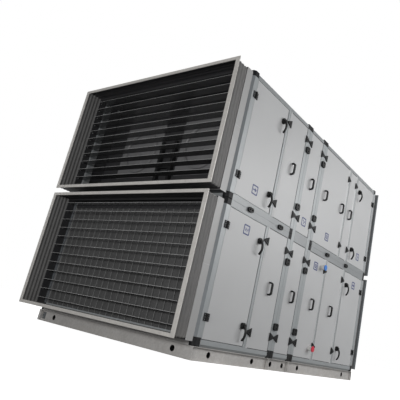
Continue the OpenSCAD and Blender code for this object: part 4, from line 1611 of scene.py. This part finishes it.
@dataclass
class PanelTrims:
    """Gasket lines round the panels and doors, edges lapping the inner posts, seals between sections."""

    line: float = 6.0
    thin_line: float = 1.4
    edge: float = 0.3
    proud: float = 0.6
    sunk: float = 0.5
    wide_lap: float = 19.0
    lap: float = 11.0
    lap_end: float = 1.0
    lap_back: float = -0.1
    lap_face: float = -0.9
    lap_foot: float = 1.95
    slope: Pair = (-6.0, 14.0)
    heel: Pair = (0.5, -0.2)
    shade: Pair = (0.2, 2.6)
    shade_depth: Pair = (-0.35, -0.05)
    seal: float = 2.5
    seal_depth: Pair = (14.0, 40.0)
    strip_end: float = 3.0
    strip_depth: Pair = (0.6, 13.6)
    cross_end: float = 7.0
    cross_height: float = 4.5
    joint_half: float = 0.9
    joint_depth: Pair = (3.0, 50.0)
    joint_end: float = 4.0

    def _laps(self, tier: int, bay: Pair) -> Pair:
        """How far a fixed panel laps the posts at its left and right edges.

        Args:
            tier: Its tier.
            bay: Its left and right edges.

        Returns:
            The left and right laps, zero at a joint between sections.
        """
        inner = UNIT.inner_post(tier)
        lefts = {UNIT.first_post + UNIT.profile: self.wide_lap, inner + UNIT.profile: self.lap}
        rights = {UNIT.last_post: self.wide_lap, inner: self.lap}
        return lefts.get(bay[0], 0.0), rights.get(bay[1], 0.0)

    def _add_laps(self, sketch: Sketch, laps: Pair, bay: Pair, span: Pair) -> None:
        """Adds the lapping edges of one panel with a painted shadow line beside each.

        Args:
            sketch: Mesh that they go to.
            laps: Widths of the laps.
            bay: Left and right edges of the panel.
            span: Foot and head of the panel.
        """
        z0, z1 = span[0] + self.lap_end, span[1] - self.lap_end
        for edge, lap, way in ((bay[0], laps[0], 1.0), (bay[1], laps[1], -1.0)):
            if lap > 0.0:
                run = ((-lap, self.lap_back), (-lap, self.lap_face), (self.slope[0], self.lap_face),
                       (self.slope[1], self.lap_foot), (self.heel[0], self.lap_foot),
                       (self.heel[1], self.lap_back))
                sketch.prism([(edge + way * x, y) for x, y in run], Plane.XY, z0, z1, 2)
                # A thin dark strip beside the lap: painted shadow of its edge.
                low, high = sorted(edge - way * (lap + gap) for gap in self.shade)
                sketch.box((low, self.shade_depth[0], z0), (high, self.shade_depth[1], z1))

    def _doors(self, sketch: Sketch, tier: int) -> None:
        """Adds the seals of a tier's doors and the strips of the frame in their gaps.

        Args:
            sketch: Mesh that they go to.
            tier: The tier.
        """
        z0, z1 = UNIT.opening(tier)
        front, back = self.strip_depth
        for (x0, x1), at_left in zip(UNIT.door_bays(), (True, False)):
            low, high = (x0, z0), (x1, z1)
            inner = rectangle(*shrunk(low, high, self.seal))
            sketch.ring(rectangle(low, high), inner, Plane.XZ, self.seal_depth)
            left, right = (x0 + self.edge, x0 + self.line) if at_left else (x1 - self.line, x1 - self.edge)
            sketch.box((left, front, z0 + self.strip_end), (right, back, z1 - self.strip_end), 1)
            for z in (z0 + self.edge, z1 - self.edge - self.cross_height):
                sketch.box((x0 + self.cross_end, front, z),
                           (x1 - self.cross_end, back, z + self.cross_height), 1)

    def build(self, palette: Palette) -> None:
        """Makes the trims one piece on the casing.

        Args:
            palette: The finishes.
        """
        sketch = Sketch("panel_gaskets")
        depth = (UNIT.panel_face - self.proud, UNIT.panel_face + self.sunk)
        for tier in TIERS:
            z0, z1 = UNIT.opening(tier)
            for x0, x1 in UNIT.fixed_bays(tier):
                laps = self._laps(tier, (x0, x1))
                right = self.thin_line if laps[1] > 0.0 else self.line
                inner = rectangle((x0 + self.thin_line, z0 + self.line), (x1 - right, z1 - self.line))
                outer = rectangle(*shrunk((x0, z0), (x1, z1), self.edge))
                sketch.ring(outer, inner, Plane.XZ, depth)
                self._add_laps(sketch, laps, (x0, x1), (z0, z1))
            self._doors(sketch, tier)
        front, back = self.joint_depth
        z0, z1 = UNIT.foot(0) + self.joint_end, UNIT.head(1) - self.joint_end
        for x in UNIT.joints:
            sketch.box((x - self.joint_half, front, z0), (x + self.joint_half, back, z1))
        sketch.piece(palette.pick("gasket", "alloy", "panel_paint"))


@dataclass
class DamperTrims:
    """Folded seam of each damper casing and the rivets along its front edge."""

    seam_height: float = 625.0
    seam_span: Pair = (-80.0, -1.0)
    seam_half: float = 1.6
    seam_proud: float = 0.6
    seam_sunk: float = 0.2
    rivet_x: float = -66.0
    rivet_foot: float = 70.0
    rivet_head: float = 60.0
    rivets: int = 8

    def build(self, palette: Palette) -> None:
        """Makes the seams and the rivets.

        Args:
            palette: The finishes.
        """
        sketch = Sketch("casing_seams")
        rivets = FastenerField("casing_rivets", 2.6, 1.4, 10)
        near, far = UNIT.across(UNIT.casing_side)
        thick = self.seam_proud + self.seam_sunk
        start, end = self.seam_span
        for tier in TIERS:
            z = UNIT.foot(tier) + self.seam_height
            for y in (near - self.seam_proud, far - self.seam_sunk):
                sketch.box((start, y, z - self.seam_half), (end, y + thick, z + self.seam_half))
            z0, z1 = UNIT.foot(tier) + self.rivet_foot, UNIT.head(tier) - self.rivet_head
            for y, way in ((near, TO_ACCESS), (far, TO_BACK)):
                rivets.row((self.rivet_x, y, z0), (self.rivet_x, y, z1), self.rivets, way)
        sketch.piece(palette.pick("panel_paint"))
        rivets.build(palette.get("casing_paint"))


class Symbol(Enum):
    """Plain picture on a label."""

    ARROW = "air that flows"
    FAN = "fan"
    ZIGZAG = "filter"
    WAVES = "water"


@dataclass
class PanelLabel:
    """A small picture label on a panel."""

    name: str
    x: float
    z: float
    symbol: Symbol
    body: str = "casing"
    half: float = 46.0
    radius: float = 12.0
    film: float = 0.5
    ink: float = 0.25
    border: Pair = (1.0, 13.0)
    border_radii: Pair = (11.5, 6.0)

    def _marks(self) -> list[list[Pair]]:
        """Outlines of the symbol's marks round the label's middle.

        Returns:
            Closed outlines in the XZ plane.
        """
        if self.symbol is Symbol.ARROW:
            return [[(-28, -7), (2, -7), (2, -22), (29, 0), (2, 22), (2, 7), (-28, 7)]]
        if self.symbol is Symbol.FAN:
            marks = [circle((0.0, 0.0), 6.0, 12)]
            leaf = [(8, -3), (20, -11), (28, -3), (22, 6), (10, 4)]
            for degrees in (20.0, 140.0, 260.0):
                cos, sin = math.cos(math.radians(degrees)), math.sin(math.radians(degrees))
                marks.append([(a * cos - b * sin, a * sin + b * cos) for a, b in leaf])
            return marks
        if self.symbol is Symbol.ZIGZAG:
            top = [(-28, 8), (-16, -20), (-4, 8), (8, -20), (20, 8), (28, -10)]
            return [[*top, *[(a, b + 13) for a, b in reversed(top)]]]
        waves = []
        for z in (-16.0, 0.0, 16.0):
            line = [(a, z - 4.0 + 4.0 * math.sin(a * 0.24)) for a in range(-28, 29, 4)]
            waves.append([*line, *[(a, b + 9.0) for a, b in reversed(line)]])
        return waves

    def build(self, palette: Palette) -> None:
        """Makes the label: film, rounded outline and marks.

        Args:
            palette: The finishes.
        """
        sketch = Sketch(self.name)
        low, high = (self.x - self.half, self.z - self.half), (self.x + self.half, self.z + self.half)
        film = UNIT.panel_face - self.film
        sketch.prism(rounded(low, high, self.radius), Plane.XZ, UNIT.panel_face, film)
        insets = zip(self.border, self.border_radii)
        outer, inner = (rounded(*shrunk(low, high, inset), radius) for inset, radius in insets)
        sketch.ring(outer, inner, Plane.XZ, (film, film - self.ink), 1)
        for mark in self._marks():
            sketch.prism([(self.x + a, self.z + b) for a, b in mark], Plane.XZ, film, film - self.ink, 1)
        sketch.piece(palette.pick("label_film", "label_ink"), self.body)


UPPER_LABELS = UNIT.foot(1) + 191.0
LOWER_LABELS = UNIT.foot(0) + 1026.0

LABELS: tuple[PanelLabel, ...] = (
    PanelLabel("label_upper_front", 351.0, UPPER_LABELS, Symbol.ARROW),
    PanelLabel("label_upper_middle", 1274.0, UPPER_LABELS, Symbol.FAN),
    PanelLabel("label_upper_wide", 1828.0, UPPER_LABELS, Symbol.WAVES),
    PanelLabel("label_upper_rear", 2737.0, UPPER_LABELS, Symbol.FAN),
    PanelLabel("label_lower_front", 353.0, LOWER_LABELS, Symbol.ZIGZAG, "front_door"),
    PanelLabel("label_lower_coil", 1687.0, LOWER_LABELS, Symbol.WAVES),
    PanelLabel("label_lower_rear", 2734.0, LOWER_LABELS, Symbol.ARROW, "rear_door"),
)


@dataclass
class Fasteners:
    """Screws of the clamps, hinges, back and roof panels, and rivets of the mouth flanges."""

    clamp_heights: Pair = (190.0, 1022.0)
    clamp_face: float = -10.3
    clamp_wing: float = 50.0
    clamp_near: float = 4.0
    hinge_heights: Pair = (229.0, 986.0)
    hinge_steps: Point = (-20.0, 0.0, 20.0)
    hinge_axis: float = 76.0
    hinge_leaf: float = 23.0
    post_leaf_face: float = -5.4
    door_leaf_face: float = -3.4
    skin_proud: float = 0.3
    back_end: float = 90.0
    back_side: float = 26.0
    back_count: int = 5
    roof_side: float = 84.0
    roof_ends: Pair = (40.0, 30.0)
    roof_inset: float = 240.0
    roof_counts: tuple[int, int, int] = (3, 6, 7)
    long_roof: float = 600.0
    flange_side: float = 2.0
    flange_sunk: float = 0.4
    flange_foot: float = 60.0
    flange_pitch: float = 180.0
    flange_count: int = 7

    def _clamps(self, screws: FastenerField) -> None:
        """Adds a screw to the wide end of every clamp's wing.

        Args:
            screws: Field that they go to.
        """
        for tier in TIERS:
            places = [UNIT.first_post + self.clamp_wing, UNIT.last_post + self.clamp_near,
                      UNIT.inner_post(tier) + self.clamp_near]
            places += [joint + side * self.clamp_wing for joint in UNIT.joints for side in SIDES]
            for height in self.clamp_heights:
                for x in places:
                    screws.add((x, self.clamp_face, UNIT.foot(tier) + height), TO_ACCESS)

    def _hinges(self, fixed: FastenerField, front: FastenerField, rear: FastenerField) -> None:
        """Adds the hinge screws: the posts' leaves are fixed, the lower doors' leaves swing.

        Args:
            fixed: Field of the screws on the casing.
            front: Field of those on the lower front door.
            rear: Field of those on the lower rear door.
        """
        axes = ((self.hinge_axis, -1.0, front), (UNIT.length - self.hinge_axis, 1.0, rear))
        for tier in TIERS:
            for height in self.hinge_heights:
                for step in self.hinge_steps:
                    z = UNIT.foot(tier) + height + step
                    for axis, way, moving in axes:
                        reach = way * self.hinge_leaf
                        fixed.add((axis + reach, self.post_leaf_face, z), TO_ACCESS)
                        leaf = moving if tier == 0 else fixed
                        leaf.add((axis - reach, self.door_leaf_face, z), TO_ACCESS)

    def _skin(self, screws: FastenerField) -> None:
        """Adds the screws of the back panels and the roof.

        Args:
            screws: Field that they go to.
        """
        back = UNIT.width - UNIT.panel_face + self.skin_proud
        for tier in TIERS:
            z0, z1 = UNIT.foot(tier) + self.back_end, UNIT.head(tier) - self.back_end
            for x0, x1 in [*UNIT.fixed_bays(tier), *UNIT.door_bays()]:
                for x in (x0 + self.back_side, x1 - self.back_side):
                    screws.row((x, back, z0), (x, back, z1), self.back_count, TO_BACK)
        top = UNIT.head(1) - UNIT.panel_face + self.skin_proud
        few, more, across = self.roof_counts
        near, far = UNIT.across(self.roof_inset)
        for x0, x1 in UNIT.roof_bays():
            count = more if x1 - x0 > self.long_roof else few
            for y in UNIT.across(self.roof_side):
                screws.row((x0 + self.roof_ends[0], y, top), (x1 - self.roof_ends[0], y, top), count, TO_ROOF)
            for x in (x0 + self.roof_ends[1], x1 - self.roof_ends[1]):
                screws.row((x, near, top), (x, far, top), across, TO_ROOF)

    def _flanges(self, rivets: FastenerField) -> None:
        """Adds the rivets behind the upright sides of the mouth flanges.

        Args:
            rivets: Field that they go to.
        """
        for tier in TIERS:
            for x, way in ((UNIT.front_sleeve[0], 1.0), (UNIT.rear_sleeve[1], -1.0)):
                for y in UNIT.across(self.flange_side):
                    for k in range(self.flange_count):
                        z = UNIT.foot(tier) + self.flange_foot + self.flange_pitch * k
                        rivets.add((x + way * self.flange_sunk, y, z), (way, 0.0, 0.0))

    def build(self, palette: Palette) -> None:
        """Makes the fields.

        Args:
            palette: The finishes.
        """
        clamps = FastenerField("clamp_screws", 6.5, 3.0, 12, 5)
        self._clamps(clamps)
        clamps.build(palette.get("corner_plastic"), slot="hardware_plastic")
        fixed = FastenerField("hinge_screws", 3.6, 1.6, 10, 7)
        front = FastenerField("front_door_hinge_screws", 3.6, 1.6, 10, 8)
        rear = FastenerField("rear_door_hinge_screws", 3.6, 1.6, 10, 9)
        self._hinges(fixed, front, rear)
        for screws, body in ((fixed, "casing"), (front, "front_door"), (rear, "rear_door")):
            screws.build(palette.get("dark_alloy_and_shade"), body)
        skin = FastenerField("skin_screws", 4.5, 1.3, 6, 11)
        self._skin(skin)
        skin.build(palette.get("screw_zinc"))
        flange = FastenerField("flange_rivets", 3.4, 1.6, 10, 13)
        self._flanges(flange)
        flange.build(palette.get("screw_zinc"))


@dataclass
class FanWall:
    """What shows of the two fans: bell mouths, impellers and their dark stand."""

    wall_x: float = 212.0
    pitch: float = 886.0
    inlet: float = 420.0
    mouth_gap: float = 12.0
    sides: int = 48
    hub_sides: int = 32
    vanes: int = 9
    vane_gap: float = 15.0
    vane_rise: float = 8.0
    vane_start: float = 75.0
    vane_length: float = 120.0
    vane_lead: float = 0.5
    vane_radius: float = 4.0
    vane_sides: int = 6
    stand_gap: float = 2.0
    stand_foot: float = 56.0
    stand_height: float = 620.0
    post_places: Pair = (-110.0, 74.0)
    post_width: float = 36.0
    post_depth: float = 40.0
    shelf_heights: Point = (150.0, 330.0, 560.0)
    shelf_half: float = 74.0
    shelf_height: float = 44.0
    shelf_depth: Pair = (30.0, 6.0)
    foot_half: float = 330.0
    foot_depth: Pair = (56.0, 16.0)
    foot_span: Pair = (8.0, 92.0)

    # Radius beyond the inlet's and place along x
    lip: ClassVar[tuple[Pair, ...]] = (
        (34.0, 0.0), (30.0, -14.0), (14.0, -20.0), (2.0, -12.0), (-2.0, 4.0), (6.0, 4.0), (16.0, -6.0))
    # Radius and place along x
    disc: ClassVar[tuple[Pair, ...]] = (
        (206.0, 6.0), (150.0, 2.0), (70.0, -6.0), (6.0, -10.0),
        (6.0, -4.0), (70.0, 0.0), (150.0, 8.0), (206.0, 11.0))
    hub: ClassVar[tuple[Pair, ...]] = ((52.0, -8.0), (46.0, -16.0), (10.0, -20.0))

    def _stand(self, sketch: Sketch) -> None:
        """Adds the dark stand between the fans and the feet under them.

        Args:
            sketch: Mesh that they go to.
        """
        middle, low = UNIT.width / 2.0, UNIT.foot(1) + self.stand_foot
        back = self.wall_x - self.stand_gap
        for place in self.post_places:
            y = middle + place
            sketch.box((back - self.post_depth, y, low),
                       (back, y + self.post_width, low + self.stand_height), 1)
        near, far = self.shelf_depth
        for height in self.shelf_heights:
            z = low + height
            sketch.box((back - near, middle - self.shelf_half, z),
                       (back - far, middle + self.shelf_half, z + self.shelf_height), 1)
        near, far = self.foot_depth
        for side in SIDES:
            y = middle + side * self.pitch / 2.0
            sketch.box((back - near, y - self.foot_half, low + self.foot_span[0]),
                       (back - far, y + self.foot_half, low + self.foot_span[1]), 1)

    def _vane(self, y: float, z: float, turn: float) -> list[Point]:
        """Middle line of one vane.

        Args:
            y: The fan's middle along y.
            z: The fan's middle height.
            turn: Angle that the vane starts at.

        Returns:
            The points from the hub outwards.
        """
        run = []
        for share in (0.0, 0.25, 0.5, 0.75, 1.0):
            radius = self.vane_start + self.vane_length * share
            angle = turn + self.vane_lead * share
            x = self.wall_x - self.vane_gap + self.vane_rise * share
            run.append((x, y + radius * math.cos(angle), z + radius * math.sin(angle)))
        return run

    def build(self, palette: Palette) -> None:
        """Makes the bell mouths, impellers and stand.

        Args:
            palette: The finishes.
        """
        sketch = Sketch("fan_fronts")
        z = UNIT.foot(1) + UNIT.tier_height / 2.0
        lip = [(self.inlet / 2.0 + radius, along) for radius, along in self.lip]
        for side in SIDES:
            y = UNIT.width / 2.0 + side * self.pitch / 2.0
            centre = (self.wall_x - self.mouth_gap, y, z)
            sketch.lathe(lip, centre, Plane.YZ, self.sides)
            sketch.lathe(self.disc, centre, Plane.YZ, self.sides)
            for turn in turns(self.vanes):
                sketch.tube(self._vane(y, z, turn), self.vane_radius, self.vane_sides)
            sketch.lathe(self.hub, centre, Plane.YZ, self.hub_sides, closed=False)
        self._stand(sketch)
        sketch.piece(palette.pick("fan_steel", "hardware_plastic"), slot="fan_steel")


@dataclass
class BaseTrims:
    """Bolts of the base's end plates, bushes behind its lifting holes and a dark plate on its front web that
    paints the shade of its recess.
    """

    web: float = 28.0
    joint_plate: float = 5.0
    rear_plate: float = 4.0
    bolt_sunk: float = 0.8
    bolt_side: float = 15.0
    bolt_heights: Pair = (30.0, 75.0)
    side_holes: tuple[float, ...] = (235.0, 854.0, 1167.0, 1385.0, 1698.0, 2820.0)
    end_holes: float = 235.0
    hole_height: float = 52.5
    bush_gap: float = 4.5
    bush_radii: Pair = (25.2, 29.0)
    bush_length: float = 60.0
    bush_sides: int = 32
    shade_plate_side: float = 36.0
    shade_plate_width: float = 52.0
    shade_plate_heights: Pair = (20.0, 86.0)
    shade_plate_radius: float = 3.0
    shade_plate_depth: Pair = (3.0, 0.2)
    shade_plate_bolts: Pair = (34.0, 72.0)
    shade_plate_bolt_side: float = 10.0

    def _bush(self, way: float) -> list[Pair]:
        """Profile of a bush that runs inwards from its web."""
        inner, outer = self.bush_radii
        return [(inner, 0.0), (outer, 0.0), (outer, way * self.bush_length), (inner, way * self.bush_length)]

    def _bushes(self, sketch: Sketch) -> None:
        """Adds a bush behind every lifting hole.

        Args:
            sketch: Mesh that they go to.
        """
        inset = self.web + self.bush_gap
        for x in self.side_holes:
            for y, way in zip(UNIT.across(inset), (1.0, -1.0)):
                sketch.lathe(self._bush(way), (x, y, self.hole_height), Plane.XZ, self.bush_sides)
        for y in UNIT.across(self.end_holes):
            for x, way in ((inset, 1.0), (UNIT.length - inset, -1.0)):
                sketch.lathe(self._bush(way), (x, y, self.hole_height), Plane.YZ, self.bush_sides)

    def build(self, palette: Palette) -> None:
        """Makes the bolts, the bushes and the plate.

        Args:
            palette: The finishes.
        """
        sketch = Sketch("lifting_bushes")
        bolts = FastenerField("base_bolts", 6.0, 4.0, 6, 17)
        for x in (*(joint - self.joint_plate for joint in UNIT.joints), UNIT.length - self.rear_plate):
            for y in UNIT.across(self.bolt_side):
                for z in self.bolt_heights:
                    bolts.add((x - self.bolt_sunk, y, z), TO_FRONT)
        self._bushes(sketch)
        # The dark plate is painted shade in the web's recess.
        far = UNIT.width - self.shade_plate_side
        low, high = (far - self.shade_plate_width, self.shade_plate_heights[0]), (far, self.shade_plate_heights[1])
        start, end = (self.web - depth for depth in self.shade_plate_depth)
        sketch.prism(rounded(low, high, self.shade_plate_radius), Plane.YZ, start, end, 1)
        for z in self.shade_plate_bolts:
            bolts.add((start, far - self.shade_plate_bolt_side, z), TO_FRONT)
        sketch.piece(palette.pick("hardware_plastic", "dark_alloy_and_shade"), slot="galvanised")
        bolts.build(palette.get("screw_zinc"), slot="galvanised")


@dataclass(frozen=True)
class AreaLamp:
    """A soft lamp that looks at a point."""

    name: str
    place: Point
    target: Point
    size: Pair
    power: float

    def build(self) -> None:
        """Adds the lamp."""
        data = bpy.data.lights.new(self.name, "AREA")
        data.shape = "RECTANGLE"
        data.size, data.size_y = self.size
        data.energy = self.power
        lamp = link(self.name, data)
        lamp.location = self.place
        lamp.rotation_euler = (Vector(self.target) - Vector(self.place)).to_track_quat("-Z", "Y").to_euler()


LAMPS: tuple[AreaLamp, ...] = (
    AreaLamp("access_side_lamp", (2.7, -5.8, 3.35), (1.0, -1.0, 1.65), (7.0, 2.4), 254.0),
    AreaLamp("front_lamp", (-6.8, -2.2, 0.9), (-1.6, 0.0, 1.2), (3.0, 0.8), 160.0),
    AreaLamp("back_lamp", (0.5, 6.2, 3.0), (0.5, 1.0, 1.4), (7.0, 2.4), 170.0),
    AreaLamp("rear_lamp", (6.6, 0.8, 2.4), (1.6, 0.0, 1.3), (3.0, 1.6), 120.0),
    AreaLamp("roof_lamp", (0.4, 0.6, 6.6), (0.2, 0.2, 2.5), (4.0, 3.0), 130.0),
)


@dataclass
class Stage:
    """Pale floor, white world, soft lamps and the photograph's camera."""

    yaw: float = 37.755
    pitch: float = 15.029
    roll: float = 11.882
    eye: Point = (-4.2267, -3.4636, 0.2438)
    lens: float = 42.02
    sensor: float = 36.0
    shift: Pair = (-0.1251, 0.0263)
    clip: Pair = (0.05, 300.0)
    ambient: float = 0.22
    floor_glow: float = 0.95
    floor_grey: float = 0.38
    floor_rough: float = 0.9
    floor_reach: float = 60.0
    floor_height: float = -0.0005

    def _world(self) -> None:
        """White to the camera, dimmer as a light."""
        world = bpy.data.worlds.new("white_room")
        bpy.context.scene.world = world
        world.use_nodes = True
        world.node_tree.nodes.clear()
        board = NodeBoard(world.node_tree)
        rays = board.add("ShaderNodeLightPath")
        seen = board.math("MAXIMUM", rays.outputs["Is Camera Ray"], rays.outputs["Is Transmission Ray"])
        mix = board.add("ShaderNodeMixShader")
        board.feed(mix.inputs[0], seen)
        for socket, strength in ((mix.inputs[1], self.ambient), (mix.inputs[2], 1.0)):
            sky = board.add("ShaderNodeBackground")
            board.fill(sky, {"Color": (1.0, 1.0, 1.0, 1.0), "Strength": strength})
            board.feed(socket, sky.outputs[0])
        board.feed(board.add("ShaderNodeOutputWorld").inputs["Surface"], mix.outputs[0])

    def _floor(self) -> None:
        """A wide floor that is nearly white to the camera and a mid grey to the light."""
        material, board = blank_material("studio_floor")
        rays = board.add("ShaderNodeLightPath")
        shader = board.add("ShaderNodeBsdfPrincipled")
        shader.inputs["Base Color"].default_value = (self.floor_grey, self.floor_grey, self.floor_grey, 1.0)
        shader.inputs["Roughness"].default_value = self.floor_rough
        shader.inputs["Specular IOR Level"].default_value = 0.0
        glow = board.add("ShaderNodeEmission")
        strength = board.math("MULTIPLY", rays.outputs["Is Camera Ray"], self.floor_glow)
        board.feed(glow.inputs["Strength"], strength)
        both = board.add("ShaderNodeAddShader")
        board.feed(both.inputs[0], shader.outputs[0])
        board.feed(both.inputs[1], glow.outputs[0])
        board.feed(board.add("ShaderNodeOutputMaterial").inputs["Surface"], both.outputs[0])
        mesh = bpy.data.meshes.new("studio_floor")
        reach = self.floor_reach
        corners = rectangle((-reach, -reach), (reach, reach))
        mesh.from_pydata([(x, y, self.floor_height) for x, y in corners], [], [(0, 1, 2, 3)])
        mesh.materials.append(material)
        link("studio_floor", mesh)

    def _camera(self) -> None:
        """Sets the camera where the photograph was taken from."""
        yaw, pitch, roll = (math.radians(a) for a in (self.yaw, self.pitch, self.roll))
        ahead = Vector((math.cos(yaw) * math.cos(pitch), math.sin(yaw) * math.cos(pitch), math.sin(pitch)))
        level = Vector((math.sin(yaw), -math.cos(yaw), 0.0))
        above = level.cross(ahead)
        right = level * math.cos(roll) + above * math.sin(roll)
        up = above * math.cos(roll) - level * math.sin(roll)
        data = bpy.data.cameras.new("photo_camera")
        data.sensor_width = self.sensor
        data.lens = self.lens
        data.shift_x, data.shift_y = self.shift
        data.clip_start, data.clip_end = self.clip
        camera = link("photo_camera", data)
        turn = Matrix((right, up, -ahead)).transposed().to_4x4()
        camera.matrix_world = Matrix.Translation(self.eye) @ turn
        bpy.context.scene.camera = camera

    def build(self) -> None:
        """Builds the stage."""
        bpy.context.scene.view_settings.view_transform = "Standard"
        self._world()
        self._floor()
        for lamp in LAMPS:
            lamp.build()
        self._camera()


def main() -> None:
    """Builds the unit's looks in order, then the stage."""
    logging.basicConfig(level=logging.INFO, format="%(name)s: %(message)s")
    palette = Palette()
    for node in SOFTENED:
        node.build(palette)
    DuctSleeves().build(palette)
    FilterBank().build(palette)
    WaterCoil().build(palette)
    FanWall().build(palette)
    PanelTrims().build(palette)
    DamperTrims().build(palette)
    BaseTrims().build(palette)
    for label in LABELS:
        label.build(palette)
    Fasteners().build(palette)
    Stage().build()


if __name__ == "__main__":
    main()
